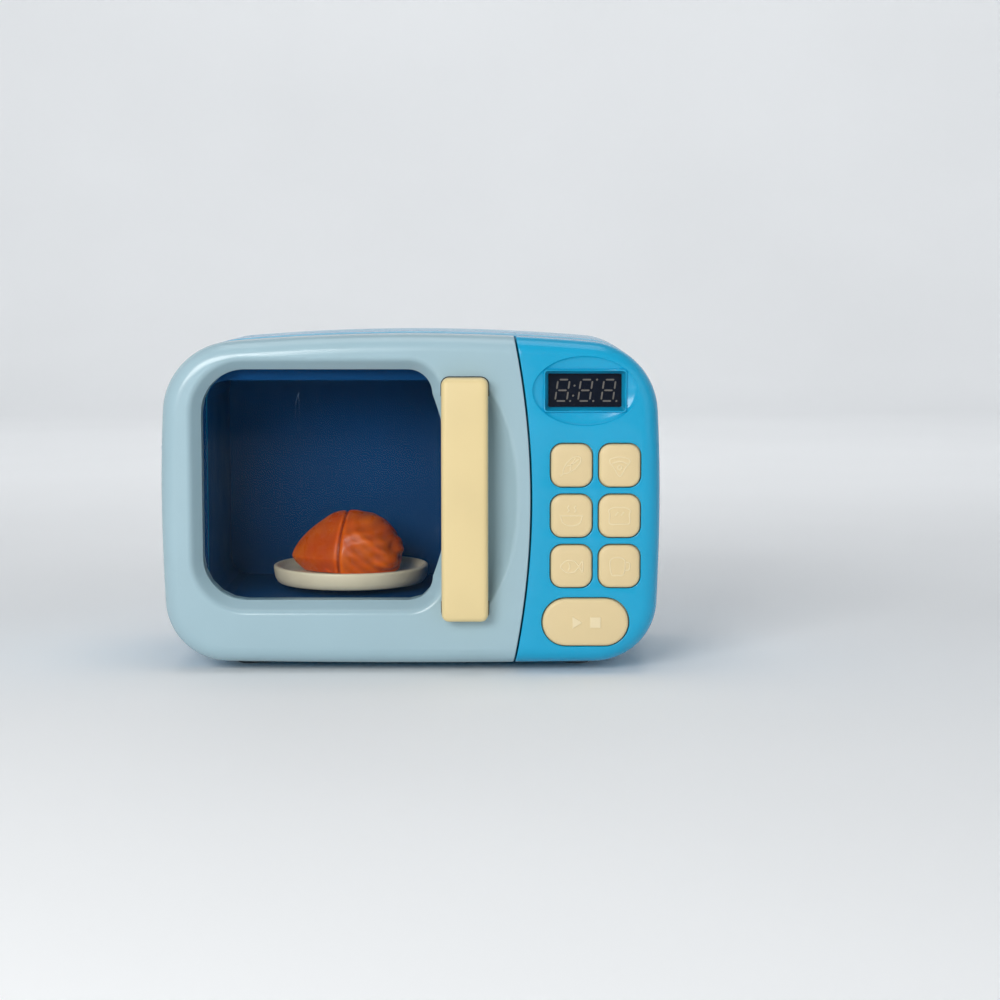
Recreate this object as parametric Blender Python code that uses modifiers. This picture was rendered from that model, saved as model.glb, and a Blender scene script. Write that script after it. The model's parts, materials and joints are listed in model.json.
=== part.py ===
"""Toy microwave: a case with a hinged door, a turning plate, press buttons and play food.

Metres, X to the right, the front faces -Y, Z up, origin under the middle of the outer box.
"""

import math

import bmesh
import bpy

# Body
body_width = 0.206
body_height = 0.1365
body_depth = 0.0875
foot_height = 0.0035
wall = 0.0022
crown_top = 0.003
crown_bottom = 0.0006
crown_side = 0.001
top_corner_radius = 0.030
bottom_corner_radius = 0.026
front_rim_radius = 0.008
inner_rim_radius = 0.004
back_rim_radius = 0.009
front_shell_depth = 0.050
fit_gap = 0.0003
screw_gap = 0.00015
overrun = 0.004

# Door
door_thickness = 0.0145
door_gap = 0.0005
panel_gap = 0.0007
door_edge_from_right = 0.0536
door_edge_radius = 0.335
inner_panel_thickness = 0.0022
hinge_inset = 0.0045
hinge_from_back = 0.006
hinge_back_round = 0.004
hinge_rib = 0.008
pin_radius = 0.0015
pin_gap = 0.0001
pin_reach = 0.009
lug_radius = 0.0043
lug_arm_width = 0.0032
lug_arm_from_axis = 0.0026
lug_clearance = 0.0005
lug_height = 0.0452
notch_height = 0.046
notch_reach = 0.0065

# Door window
window_margin_left = 0.0169
window_margin_top = 0.0145
window_margin_bottom = 0.0264
window_left_radius = 0.018
window_right_radius = 0.010
window_bulge = 0.007
funnel_width = 0.0043
funnel_depth = 0.006
collar_wall = 0.0016
pane_thickness = 0.0015
pane_lap = 0.0022

# Door handle and the finger dish behind it
handle_width = 0.0191
handle_length = 0.0998
handle_proud = 0.010
handle_from_edge = 0.0173
handle_arch = 0.004
handle_foot_length = 0.009
handle_round = 0.0018
peg_radius = 0.0025
peg_length = 0.006
window_to_handle = 0.0036
handle_drop = 0.0051
dish_half_width = 0.0222
dish_half_height = 0.0497
dish_depth = 0.0055
dish_wall = 0.0015
dish_lift = 0.0006
dish_to_funnel = 0.001

# Oven cavity and its liner
cavity_margin_left = 0.018
cavity_to_door_edge = 0.0204
cavity_floor_height = 0.0252
cavity_roof_space = 0.0195
cavity_back_space = 0.0095
cavity_radius = 0.008
liner_wall = 0.0016
liner_flange = 0.003

# Control panel
display_from_right = 0.03125
display_from_top = 0.0231
display_dish_half_width = 0.0217
display_dish_half_height = 0.01435
display_dish_depth = 0.003
display_width = 0.0301
display_height = 0.0137
display_frame = 0.002
display_thickness = 0.0064
button_width = 0.0168
button_radius = 0.0047
button_round = 0.001
button_proud = 0.0016
button_travel = 0.0012
button_column_pitch = 0.0197
button_row_gap = 0.0033
button_rows = 3
button_columns = 2
buttons_from_right = 0.02695
start_to_buttons = 0.0047
buttons_to_display = 0.00735
button_clearance = 0.00035
flange_lap = 0.0008
flange_thickness = 0.0012
start_width = 0.0354
start_height = 0.0196
start_from_right = 0.0309
start_centre_height = 0.0181

# Keypad mat and circuit board
mat_thickness = 0.0012
plunger_size = 0.008
board_thickness = 0.0016
board_margin = 0.0033
board_depth = 0.0123
board_screw_radius = 0.0011
board_boss_radius = 0.002

# Case screws
case_screw_radius = 0.0015
case_screw_length = 0.014
case_head_radius = 0.0028
case_head_height = 0.002
case_post_radius = 0.0036
case_boss_radius = 0.0045
case_seat_thickness = 0.004

# Door screws
door_screw_radius = 0.0011
door_screw_length = 0.0065
door_head_radius = 0.002
door_head_height = 0.0012
door_post_radius = 0.0024

# Turntable and its drive
plate_to_cavity_back = 0.0054
plate_bottom_lift = 0.0035
plate_rim_height = 0.0065
plate_rim_width = 0.0022
plate_floor_drop = 0.003
plate_floor_thickness = 0.0018
hub_radius = 0.006
hub_height = 0.0026
drive_hex_radius = 0.003
drive_gap = 0.0002
gear_module = 0.001
gear_thickness = 0.005
spindle_teeth = 32
idler_teeth = 16
pinion_teeth = 8
gearbox_wall = 0.0016
gearbox_margin = 0.0015
axle_radius = 0.0015
journal_radius = 0.0025
journal_length = 0.0013
motor_radius = 0.010
motor_height = 0.010
motor_shaft_radius = 0.001
motor_shaft_reach = 0.003

# Battery box at the back
cell_radius = 0.0071
cell_length = 0.0492
cell_nub_radius = 0.0027
cell_nub_length = 0.0013
cell_pitch = 0.015
cells = 3
contact_thickness = 0.0005
battery_wall = 0.0015
battery_flange = 0.001
battery_rim_radius = 0.006
battery_depth = 0.0155
slider_to_battery_door = 0.001
battery_door_thickness = 0.0018
battery_screw_boss = 0.003

# Speaker and power switch
speaker_radius = 0.0135
speaker_thickness = 0.005
speaker_ring_wall = 0.0012
speaker_from_top = 0.0235
grille_hole_radius = 0.0012
grille_pitch = 0.0044
slider_from_speaker = 0.0178
slider_travel = 0.004
slider_length = 0.006
slider_height = 0.0036
switch_depth = 0.006

# Light in the cavity's right wall
light_radius = 0.0056
light_flange = 0.002
light_dome = 0.0016
led_radius = 0.0025
led_length = 0.008

# Feet
foot_radius = 0.0065
foot_peg_radius = 0.002
foot_peg_length = 0.0045
foot_from_side = 0.034
foot_from_end = 0.015

# Play food
food_width = 0.050
food_depth = 0.036
food_height = 0.0285

# Door catch
catch_height = 0.008
catch_thickness = 0.002
catch_reach = 0.0045
catch_bump = 0.0007
catch_base = 0.008
catch_clearance = 0.0008
catch_from_edge = 0.0074
strike_size = 0.014
strike_thickness = 0.001

# Number of straight steps in the round stretches
side_steps = 2
corner_steps = 5
top_steps = 3
edge_steps = 3
small_corner_steps = 3
button_corner_steps = 3
button_edge_steps = 2
circle_steps = 16
screw_steps = 8
head_steps = 12
dish_rings = 10
dish_spokes = 26
grille_steps = 6

# Points closer than this are one point
weld_distance = 0.00001

# Places worked out from the sizes
half_width = body_width / 2
half_height = body_height / 2
mid_z = foot_height + half_height
top_z = foot_height + body_height
full_depth = handle_proud + door_thickness + door_gap + body_depth
face_y = -full_depth / 2 + handle_proud
door_back_y = face_y + door_thickness
seat_y = door_back_y + door_gap
back_y = full_depth / 2
split_y = seat_y + front_shell_depth
edge_x = half_width - door_edge_from_right
edge_centre_x = edge_x - door_edge_radius
hinge_x = -half_width + hinge_inset
hinge_y = door_back_y - hinge_from_back
handle_right = edge_x - handle_from_edge
handle_x = handle_right - handle_width / 2
window_left = -half_width + window_margin_left
window_right = handle_right - handle_width - window_to_handle
window_bottom = foot_height + window_margin_bottom
window_top = top_z - window_margin_top
handle_z = (window_top + window_bottom) / 2 - handle_drop
dish_z = handle_z + dish_lift
pane_front_y = face_y + funnel_depth + fit_gap * 4
pane_back_y = pane_front_y + pane_thickness
panel_front_y = door_back_y - inner_panel_thickness
cavity_left = -half_width + cavity_margin_left
cavity_right = edge_x - cavity_to_door_edge
cavity_width = cavity_right - cavity_left
cavity_x = (cavity_left + cavity_right) / 2
cavity_floor = foot_height + cavity_floor_height
cavity_height = body_height - cavity_floor_height - cavity_roof_space
cavity_z = cavity_floor + cavity_height / 2
liner_front_y = seat_y + wall + fit_gap
cavity_depth = body_depth - cavity_back_space
cavity_back_y = seat_y + cavity_depth
plate_radius = cavity_depth / 2 - plate_to_cavity_back
cavity_y = (seat_y + cavity_back_y) / 2
liner_right = cavity_right + liner_wall
display_x = half_width - display_from_right
display_z = top_z - display_from_top
display_front_y = face_y + display_dish_depth + wall + fit_gap
buttons_x = half_width - buttons_from_right
start_x = half_width - start_from_right
start_z = foot_height + start_centre_height
buttons_low = start_z + start_height / 2 + start_to_buttons
buttons_high = display_z - display_dish_half_height - buttons_to_display
button_row_pitch = (buttons_high - buttons_low + button_row_gap) / button_rows
button_height = button_row_pitch - button_row_gap
lowest_row_z = buttons_low + button_height / 2
flange_front_y = face_y + wall + fit_gap
flange_back_y = flange_front_y + flange_thickness
board_front_y = face_y + board_depth
mat_back_y = board_front_y - fit_gap


def arc(centre, radius, start, end, steps):
    """Points on a circle from one angle to another, both ends included."""
    angles = [start + (end - start) * step / steps for step in range(steps + 1)]
    return [(centre[0] + radius * math.cos(a), centre[1] + radius * math.sin(a)) for a in angles]


def circle(radius, centre=(0, 0), steps=circle_steps):
    """A circle with a flat side, not a corner, on each axis."""
    half_step = math.pi / steps
    return arc(centre, radius, half_step, math.tau + half_step, steps)[:-1]


def rounded_rect(width, height, radius, centre=(0, 0), steps=small_corner_steps):
    """A rectangle with round corners, from its top right corner round to the left."""
    reach_x, reach_z = width / 2 - radius, height / 2 - radius
    signs = ((1, 1), (-1, 1), (-1, -1), (1, -1))
    points = []
    for quarter, (side, up) in enumerate(signs):
        corner = (centre[0] + side * reach_x, centre[1] + up * reach_z)
        start = quarter * math.pi / 2
        points += arc(corner, radius, start, start + math.pi / 2, steps)
    return points


def box_outline(left, right, low, high):
    return [(right, high), (left, high), (left, low), (right, low)]


def quadrant(height, radius, end_crown, inset):
    """A quarter of the body's outline, from its widest point to its middle, drawn in by inset."""
    core_x = half_width - crown_side - radius
    core_z = height - end_crown - radius
    side_radius = (core_z**2 + crown_side**2) / (2 * crown_side)
    end_radius = (core_x**2 + end_crown**2) / (2 * end_crown)
    side_angle = math.asin(core_z / side_radius)
    end_angle = math.pi / 2 - math.asin(core_x / end_radius)
    side_centre = (core_x + crown_side - side_radius, 0)
    end_centre = (0, core_z + end_crown - end_radius)
    points = arc(side_centre, side_radius + radius - inset, 0, side_angle, side_steps)[:-1]
    points += arc((core_x, core_z), radius - inset, side_angle, end_angle, corner_steps)
    points += arc(end_centre, end_radius + radius - inset, end_angle, math.pi / 2, top_steps)[1:]
    return points


def body_outline(inset=0):
    """The body seen from the front: crowned sides and large round corners."""
    upper = quadrant(half_height, top_corner_radius, crown_top, inset)
    lower = quadrant(half_height, bottom_corner_radius, crown_bottom, inset)
    points = upper + [(-x, z) for x, z in reversed(upper[:-1])]
    points += [(-x, -z) for x, z in lower[1:]] + [(x, -z) for x, z in reversed(lower[1:-1])]
    return [(x, mid_z + z) for x, z in points]


def left_of_edge(offset):
    """All that lies left of the arc on which door and panel meet, the arc moved right by offset."""
    reach = half_height + overrun
    radius = door_edge_radius + offset
    angle = math.asin(reach / radius)
    points = arc((edge_centre_x, mid_z), radius, -angle, angle, corner_steps * 2)
    far = -half_width - overrun
    return points + [(far, mid_z + reach), (far, mid_z - reach)]


def window_outline(grow):
    """The door's window: its right side bulges out behind the handle. All of it is moved out by grow."""
    low, high = window_bottom + window_right_radius, window_top - window_right_radius
    half_chord = (high - low) / 2
    bulge_radius = (half_chord**2 + window_bulge**2) / (2 * window_bulge)
    bulge_x = window_right + window_bulge - bulge_radius
    corner_x = window_right - window_right_radius
    middle = (high + low) / 2
    near, far = window_right_radius + grow, bulge_radius + grow
    apart = math.hypot(corner_x - bulge_x, half_chord)
    slope = math.atan2(half_chord, corner_x - bulge_x)
    corner_turn = math.acos(min(1, (near**2 + apart**2 - far**2) / (2 * near * apart)))
    bulge_turn = math.acos((far**2 + apart**2 - near**2) / (2 * far * apart))
    corner_end = slope - math.pi + corner_turn
    bulge_end = slope - bulge_turn
    left_x = window_left + window_left_radius
    left_low, left_high = window_bottom + window_left_radius, window_top - window_left_radius
    left = window_left_radius + grow
    quarter = math.pi / 2
    points = arc((bulge_x, middle), far, -bulge_end, bulge_end, corner_steps)[1:-1]
    points += arc((corner_x, high), near, corner_end, quarter, small_corner_steps)
    points += arc((left_x, left_high), left, quarter, 2 * quarter, corner_steps)
    points += arc((left_x, left_low), left, 2 * quarter, 3 * quarter, corner_steps)
    points += arc((corner_x, low), near, -quarter, -corner_end, small_corner_steps)
    return points


def gear_outline(teeth, turn):
    """Straight-sided teeth round a circle, with a little play at the pitch circle."""
    tip_share, root_share = 0.10, 0.31
    tip_modules, root_modules = 0.95, 1.25
    radius = gear_module * teeth / 2
    step = math.tau / teeth
    points = []
    for tooth in range(teeth):
        middle = turn + tooth * step
        root, tip = radius - root_modules * gear_module, radius + tip_modules * gear_module
        for angle, reach in ((-root_share, root), (-tip_share, tip), (tip_share, tip), (root_share, root)):
            turned = middle + angle * step
            points.append((reach * math.cos(turned), reach * math.sin(turned)))
    return points


for old in list(bpy.data.objects):
    bpy.data.objects.remove(old, do_unlink=True)
pieces = bpy.data.collections.new("toy_microwave")
cutters = bpy.data.collections.new("cutters")
bpy.context.scene.collection.children.link(pieces)
bpy.context.scene.collection.children.link(cutters)


def plastic(name, colour, roughness=0.35, metallic=0.0, alpha=1.0):
    material = bpy.data.materials.new(name)
    material.use_nodes = True
    shader = material.node_tree.nodes["Principled BSDF"]
    shader.inputs["Base Color"].default_value = (*colour, 1.0)
    shader.inputs["Roughness"].default_value = roughness
    shader.inputs["Metallic"].default_value = metallic
    shader.inputs["Alpha"].default_value = alpha
    material.diffuse_color = (*colour, alpha)
    return material


azure = (0.02, 0.42, 0.72)
pale_blue = (0.38, 0.56, 0.64)
cream = (0.76, 0.62, 0.33)
deep_blue = (0.004, 0.055, 0.16)
steel = (0.62, 0.62, 0.60)
green = (0.02, 0.18, 0.07)
black = (0.012, 0.013, 0.016)
grey = (0.25, 0.26, 0.27)


def make_object(name, mesh, group):
    obj = bpy.data.objects.new(name, mesh)
    group.objects.link(obj)
    if group is cutters:
        obj.hide_render = True
        obj.display_type = "WIRE"
    return obj


def finish(obj, material):
    """Gives a piece its material and shades its round stretches smooth."""
    obj.data.materials.clear()
    obj.data.materials.append(material)
    obj.data.shade_smooth()
    obj.data.set_sharp_from_angle(angle=math.radians(30))
    return obj


def flat_mesh(name, outlines, thickness):
    """A flat outline with its holes, filled and given a thickness about local Z = 0."""
    curve = bpy.data.curves.new(name, "CURVE")
    curve.dimensions = "2D"
    curve.fill_mode = "BOTH"
    curve.extrude = thickness / 2
    for points in outlines:
        spline = curve.splines.new("POLY")
        spline.points.add(len(points) - 1)
        for slot, (across, up) in zip(spline.points, points):
            slot.co = (across, up, 0, 1)
        spline.use_cyclic_u = True
    guide = bpy.data.objects.new(name, curve)
    bpy.context.scene.collection.objects.link(guide)
    bpy.context.view_layer.update()
    graph = bpy.context.evaluated_depsgraph_get()
    mesh = bpy.data.meshes.new_from_object(guide.evaluated_get(graph))
    bpy.data.objects.remove(guide)
    bpy.data.curves.remove(curve)
    work = bmesh.new()
    work.from_mesh(mesh)
    bmesh.ops.remove_doubles(work, verts=work.verts, dist=weld_distance)
    bmesh.ops.recalc_face_normals(work, faces=work.faces)
    work.to_mesh(mesh)
    work.free()
    return mesh


def round_rim(mesh, side, radius, steps):
    """Rounds the rim of a flat solid at its end towards local +Z (side 1) or -Z (side -1)."""
    facing_share = 0.9
    work = bmesh.new()
    work.from_mesh(mesh)
    cap = [face for face in work.faces if face.normal.z * side > facing_share]
    cap = bmesh.ops.dissolve_faces(work, faces=cap, use_verts=False)["region"]
    rim = list({edge for face in cap for edge in face.edges})
    bmesh.ops.bevel(
        work, geom=rim, offset=radius, offset_type="OFFSET", segments=steps, profile=0.5, affect="EDGES"
    )
    work.to_mesh(mesh)
    work.free()


def round_edges(mesh, radius):
    """Rounds every sharp edge of a solid, after its flat faces are made whole."""
    flat, sharp = math.radians(1), math.radians(50)
    work = bmesh.new()
    work.from_mesh(mesh)
    bmesh.ops.dissolve_limit(work, angle_limit=flat, verts=work.verts, edges=work.edges)
    edges = [edge for edge in work.edges if edge.calc_face_angle(0) > sharp]
    bmesh.ops.bevel(
        work,
        geom=edges,
        offset=radius,
        offset_type="OFFSET",
        segments=edge_steps,
        profile=0.5,
        affect="EDGES",
    )
    work.to_mesh(mesh)
    work.free()


def slab(name, outlines, front, back, group=cutters, front_round=0, back_round=0, steps=edge_steps):
    """A flat solid seen from the front, from one Y to another, with a round front or back rim."""
    mesh = flat_mesh(name, outlines, back - front)
    if front_round:
        round_rim(mesh, 1, front_round, steps)
    if back_round:
        round_rim(mesh, -1, back_round, steps)
    obj = make_object(name, mesh, group)
    obj.location = (0, (front + back) / 2, 0)
    obj.rotation_euler = (math.pi / 2, 0, 0)
    return obj


def layer(name, outlines, low, high, group=cutters, centre=(0, 0)):
    """A flat solid that lies on its side, from one Z to another, its outline about centre."""
    obj = make_object(name, flat_mesh(name, outlines, high - low), group)
    obj.location = (centre[0], centre[1], (low + high) / 2)
    return obj


def turned(name, profile, steps=circle_steps, group=pieces):
    """A turned solid about local Z. The profile of (radius, height) runs down its outer side."""
    mesh = bpy.data.meshes.new(name)
    edges = [(index, index + 1) for index in range(len(profile) - 1)]
    if profile[0][0] > 0:
        edges.append((len(profile) - 1, 0))
    mesh.from_pydata([(radius, 0, height) for radius, height in profile], edges, [])
    obj = make_object(name, mesh, group)
    screw = obj.modifiers.new("turn", "SCREW")
    screw.axis = "Z"
    screw.steps = steps
    screw.render_steps = steps
    screw.use_merge_vertices = True
    screw.merge_threshold = weld_distance
    screw.use_smooth_shade = True
    return obj


def ellipsoid(name, half_x, half_y, half_z, centre):
    """An ellipsoid whose rings run round the Y axis."""
    mesh = bpy.data.meshes.new(name)
    work = bmesh.new()
    bmesh.ops.create_uvsphere(work, u_segments=dish_spokes, v_segments=dish_rings, radius=1)
    for vert in work.verts:
        vert.co = (vert.co.x * half_x, vert.co.z * half_y, -vert.co.y * half_z)
    work.to_mesh(mesh)
    work.free()
    obj = make_object(name, mesh, cutters)
    obj.location = centre
    return obj


def combine(obj, *tools, how="DIFFERENCE"):
    for tool in tools:
        modifier = obj.modifiers.new(how.lower(), "BOOLEAN")
        modifier.operation = how
        modifier.object = tool
        modifier.solver = "EXACT"
    return obj


def joint_empty(name, place):
    empty = bpy.data.objects.new(name, None)
    pieces.objects.link(empty)
    empty.location = place
    return empty


def hang_on(empty, *children):
    """Parents pieces to the empty on their joint's axis, and leaves them where they are."""
    bpy.context.view_layer.update()
    for child in children:
        child.parent = empty
        child.matrix_parent_inverse = empty.matrix_world.inverted()


def screw_profile(radius, length, head_radius, head_height):
    """A screw with its head up, its head's underside at height 0."""
    edge = head_height / 3
    return [
        (0, head_height),
        (head_radius - edge, head_height),
        (head_radius, head_height - edge),
        (head_radius, 0),
        (radius, 0),
        (radius, -length + radius),
        (0, -length),
    ]


# Places shared by several pieces
battery_inner_length = cell_length + cell_nub_length + 2 * contact_thickness + 5 * fit_gap
battery_box_half_width = battery_inner_length / 2 + battery_wall + battery_flange
right_post_x = half_width - wall - case_post_radius * 1.2
compartment_x = right_post_x - case_boss_radius - fit_gap - battery_box_half_width
left_post_x = (cavity_left - liner_wall - half_width + wall) / 2
post_spread = half_height * 0.557
post_places = [
    (left_post_x, mid_z + post_spread),
    (left_post_x, mid_z - post_spread),
    (half_width - wall - case_boss_radius * 1.95, display_z - display_dish_half_height * 0.79),
    (right_post_x, buttons_low - flange_lap * 2.5 - case_post_radius),
]
board_screw_places = [
    (display_x - display_dish_half_width * 0.56, display_z - display_dish_half_height * 1.2),
    (display_x + display_dish_half_width * 0.63, display_z - display_dish_half_height * 1.235),
    (
        buttons_x - button_column_pitch / 2 - button_width / 2 - flange_lap * 5,
        start_z + start_height * 0.655,
    ),
]


def button_places():
    places = []
    for row in range(button_rows):
        for column in range(button_columns):
            x = buttons_x + (column - (button_columns - 1) / 2) * button_column_pitch
            places.append((x, lowest_row_z + (button_rows - 1 - row) * button_row_pitch))
    return places


def button_outline(width, height, radius, grow, place):
    return rounded_rect(width + 2 * grow, height + 2 * grow, radius + grow, place, button_corner_steps)


def key_shapes():
    """The place, width, height and corner radius of every button, the long one last."""
    shapes = [(place, button_width, button_height, button_radius) for place in button_places()]
    shapes.append(((start_x, start_z), start_width, start_height, start_height / 2))
    return shapes


def hinge_lug(name, radius):
    """The eye round the hinge pin, on an arm that stands out of the seat to its right."""
    near, far = lug_arm_from_axis, lug_arm_from_axis + lug_arm_width
    root = seat_y + wall - hinge_y
    points = arc((0, 0), radius, math.acos(near / radius), math.tau, circle_steps)
    points += [(far, 0), (far, root), (near, root)]
    return layer(
        name, [points], mid_z - lug_height / 2, mid_z + lug_height / 2, cutters, (hinge_x, hinge_y)
    )


def upright(name, radius, place, low, high, steps=circle_steps):
    return layer(name, [circle(radius, steps=steps)], low, high, cutters, place)


# Places of the feet
foot_places = [
    (side * (half_width - foot_from_side), y)
    for y in (seat_y + foot_from_end, back_y - foot_from_end)
    for side in (-1, 1)
]


def display_collar(name, grow, front, back):
    outline = rounded_rect(
        display_width + 2 * grow, display_height + 2 * grow, display_frame / 2, (display_x, display_z)
    )
    return slab(name, [outline], front, back)


def tapered_hole(name, outline_front, outline_back, front, back):
    """A hole that narrows from one outline to a like one behind it: the front end's points are moved."""
    hole = slab(name, [outline_back], front, back)
    pairs = list(zip(outline_back, outline_front))
    for vert in hole.data.vertices:
        if vert.co.z > 0:
            vert.co.x, vert.co.y = min(pairs, key=lambda pair: math.dist(pair[0], vert.co.xy))[1]
    return hole


def front_housing():
    housing = slab("front_housing", [body_outline()], face_y, split_y, pieces, front_round=front_rim_radius)
    lug = hinge_lug("lug", lug_radius)
    door_space = slab("door_space", [left_of_edge(panel_gap)], face_y - overrun, seat_y)
    combine(door_space, lug)
    hollow = slab(
        "front_hollow",
        [body_outline(wall)],
        face_y + wall,
        split_y + overrun,
        front_round=inner_rim_radius,
    )
    seat_keep = slab("seat_keep", [left_of_edge(panel_gap + wall)], face_y - overrun, seat_y + wall)
    posts = slab("posts", [circle(case_post_radius, place) for place in post_places], face_y, split_y)
    board_bosses = slab(
        "board_bosses",
        [circle(board_boss_radius, place) for place in board_screw_places],
        face_y,
        board_front_y - fit_gap,
    )
    bowl = ellipsoid(
        "display_bowl",
        display_dish_half_width + wall,
        display_dish_depth + wall,
        display_dish_half_height + wall,
        (display_x, face_y, display_z),
    )
    frame_keep = display_collar(
        "display_frame_keep", display_frame + collar_wall, face_y, display_front_y - fit_gap
    )
    combine(hollow, seat_keep, posts, board_bosses, bowl, frame_keep)
    cavity_hole = slab(
        "cavity_hole",
        [rounded_rect(cavity_width, cavity_height, cavity_radius, (cavity_x, cavity_z))],
        seat_y - overrun,
        seat_y + wall + fit_gap,
    )
    holes = [
        button_outline(width, height, radius, button_clearance, place)
        for place, width, height, radius in key_shapes()
    ]
    key_holes = slab("key_holes", holes, face_y - overrun, flange_front_y)
    dish = ellipsoid(
        "display_dish",
        display_dish_half_width,
        display_dish_depth,
        display_dish_half_height,
        (display_x, face_y, display_z),
    )
    inner_edge = rounded_rect(display_width, display_height, display_frame / 4, (display_x, display_z))
    outer_edge = rounded_rect(
        display_width + 2 * display_frame,
        display_height + 2 * display_frame,
        display_frame / 2,
        (display_x, display_z),
    )
    display_hole = tapered_hole("display_hole", outer_edge, inner_edge, face_y - fit_gap, display_front_y)
    screw_holes = slab(
        "post_holes",
        [circle(case_screw_radius + screw_gap, place, screw_steps) for place in post_places],
        split_y - case_screw_length,
        split_y + overrun,
    )
    board_holes = slab(
        "board_holes",
        [circle(board_screw_radius + screw_gap, place, screw_steps) for place in board_screw_places],
        board_front_y - door_screw_length,
        board_front_y,
    )
    pin_hole = upright(
        "pin_hole",
        pin_radius + pin_gap,
        (hinge_x, hinge_y),
        mid_z - notch_height / 2 - overrun,
        mid_z + notch_height / 2 + overrun,
    )
    catch_hole = slab(
        "catch_hole",
        [catch_slot(catch_clearance)],
        seat_y - overrun,
        seat_y + wall + fit_gap,
    )
    combine(housing, door_space, hollow, cavity_hole, key_holes, dish, display_hole)
    combine(housing, screw_holes, board_holes, pin_hole, catch_hole)
    combine(housing, *peg_holes("front_peg_hole", foot_places[:2]))
    return finish(housing, plastic("azure_plastic", azure, 0.3))


def peg_holes(name, places):
    return [
        upright(
            f"{name}_{index}",
            foot_peg_radius + screw_gap,
            place,
            -overrun,
            foot_height + foot_peg_length + overrun,
        )
        for index, place in enumerate(places, start=1)
    ]


def catch_slot(grow):
    x = edge_x - catch_from_edge
    return box_outline(
        x - catch_thickness / 2 - grow,
        x + catch_thickness / 2 + catch_bump + grow,
        mid_z - catch_height / 2 - grow,
        mid_z + catch_height / 2 + grow,
    )


# Places at the back
speaker_x, speaker_z = compartment_x, top_z - speaker_from_top
slider_x, slider_z = compartment_x, speaker_z - slider_from_speaker
speaker_back_y = back_y - wall - fit_gap
battery_inner_height = cells * cell_pitch
battery_left = compartment_x - battery_inner_length / 2
battery_right = compartment_x + battery_inner_length / 2
battery_door_high = slider_z - slider_height / 2 - flange_lap - slider_to_battery_door
battery_screw_z = battery_door_high - battery_screw_boss
battery_screw_place = (compartment_x, battery_screw_z)
battery_high = battery_screw_z - battery_screw_boss - battery_wall
battery_low = battery_high - battery_inner_height
battery_open_y = back_y - wall - fit_gap


def battery_door_outline(grow):
    return rounded_rect(
        battery_inner_length + 2 * grow,
        battery_door_high - battery_low + 2 * grow,
        battery_wall + grow,
        (compartment_x, (battery_door_high + battery_low) / 2),
    )


def rear_housing():
    start = split_y + fit_gap
    housing = slab("rear_housing", [body_outline()], start, back_y, pieces, back_round=back_rim_radius)
    hollow = slab(
        "rear_hollow",
        [body_outline(wall)],
        split_y - overrun,
        back_y - wall,
        back_round=back_rim_radius - wall,
    )
    bosses = slab("bosses", [circle(case_boss_radius, place) for place in post_places], start, back_y)
    ring_inner = speaker_radius + fit_gap
    ring = slab(
        "speaker_ring",
        [
            circle(ring_inner + speaker_ring_wall, (speaker_x, speaker_z)),
            circle(ring_inner, (speaker_x, speaker_z)),
        ],
        speaker_back_y - speaker_thickness,
        back_y,
    )
    combine(hollow, bosses, ring)
    head_bores = slab(
        "head_bores",
        [circle(case_head_radius + fit_gap, place, screw_steps) for place in post_places],
        start + case_seat_thickness,
        back_y + overrun,
    )
    shank_bores = slab(
        "shank_bores",
        [circle(case_screw_radius + screw_gap, place, screw_steps) for place in post_places],
        split_y - overrun,
        start + case_seat_thickness + overrun,
    )
    grille = slab(
        "grille",
        [circle(grille_hole_radius, place, grille_steps) for place in grille_places()],
        back_y - wall * 2,
        back_y + overrun,
    )
    battery_hole = slab(
        "battery_hole", [battery_door_outline(fit_gap)], back_y - wall * 2, back_y + overrun
    )
    slot = rounded_rect(
        slider_length + slider_travel + 2 * fit_gap,
        slider_height + 2 * fit_gap,
        fit_gap,
        (slider_x, slider_z),
        1,
    )
    slider_hole = slab("slider_hole", [slot], back_y - wall * 2, back_y + overrun)
    combine(housing, hollow, head_bores, shank_bores, grille, battery_hole, slider_hole)
    combine(housing, *peg_holes("rear_peg_hole", foot_places[2:]))
    return finish(housing, plastic("rear_azure_plastic", azure, 0.35))


def grille_places():
    """One hole in the middle and two rings of holes round it."""
    places = [(speaker_x, speaker_z)]
    for ring in (1, 2):
        for step in range(6 * ring):
            angle = math.tau * step / (6 * ring)
            reach = ring * grille_pitch
            places.append((speaker_x + reach * math.cos(angle), speaker_z + reach * math.sin(angle)))
    return places


def cavity_liner():
    inner = (cavity_width, cavity_height, cavity_radius, (cavity_x, cavity_z))
    outer = rounded_rect(
        cavity_width + 2 * liner_wall,
        cavity_height + 2 * liner_wall,
        cavity_radius + liner_wall,
        (cavity_x, cavity_z),
    )
    lip = liner_wall + liner_flange
    rim = rounded_rect(
        cavity_width + 2 * lip, cavity_height + 2 * lip, cavity_radius + lip, (cavity_x, cavity_z)
    )
    liner = slab("cavity_liner", [outer], liner_front_y, cavity_back_y + liner_wall, pieces)
    flange = slab("liner_rim", [rim], liner_front_y, liner_front_y + liner_wall)
    hollow = slab("cavity_space", [rounded_rect(*inner)], liner_front_y - overrun, cavity_back_y)
    spindle_hole = upright(
        "floor_hole",
        drive_hex_radius + fit_gap,
        (cavity_x, cavity_y),
        cavity_floor - liner_wall - overrun,
        cavity_floor + overrun,
    )
    lamp_hole = turned(
        "lamp_hole",
        [
            (0, overrun),
            (light_radius + fit_gap, overrun),
            (light_radius + fit_gap, -overrun),
            (0, -overrun),
        ],
        group=cutters,
    )
    lamp_hole.location = (cavity_right, light_y, light_z)
    lamp_hole.rotation_euler = (0, math.pi / 2, 0)
    combine(liner, flange, how="UNION")
    combine(liner, hollow, spindle_hole, lamp_hole)
    return finish(liner, plastic("deep_blue_plastic", deep_blue, 0.4))


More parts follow.
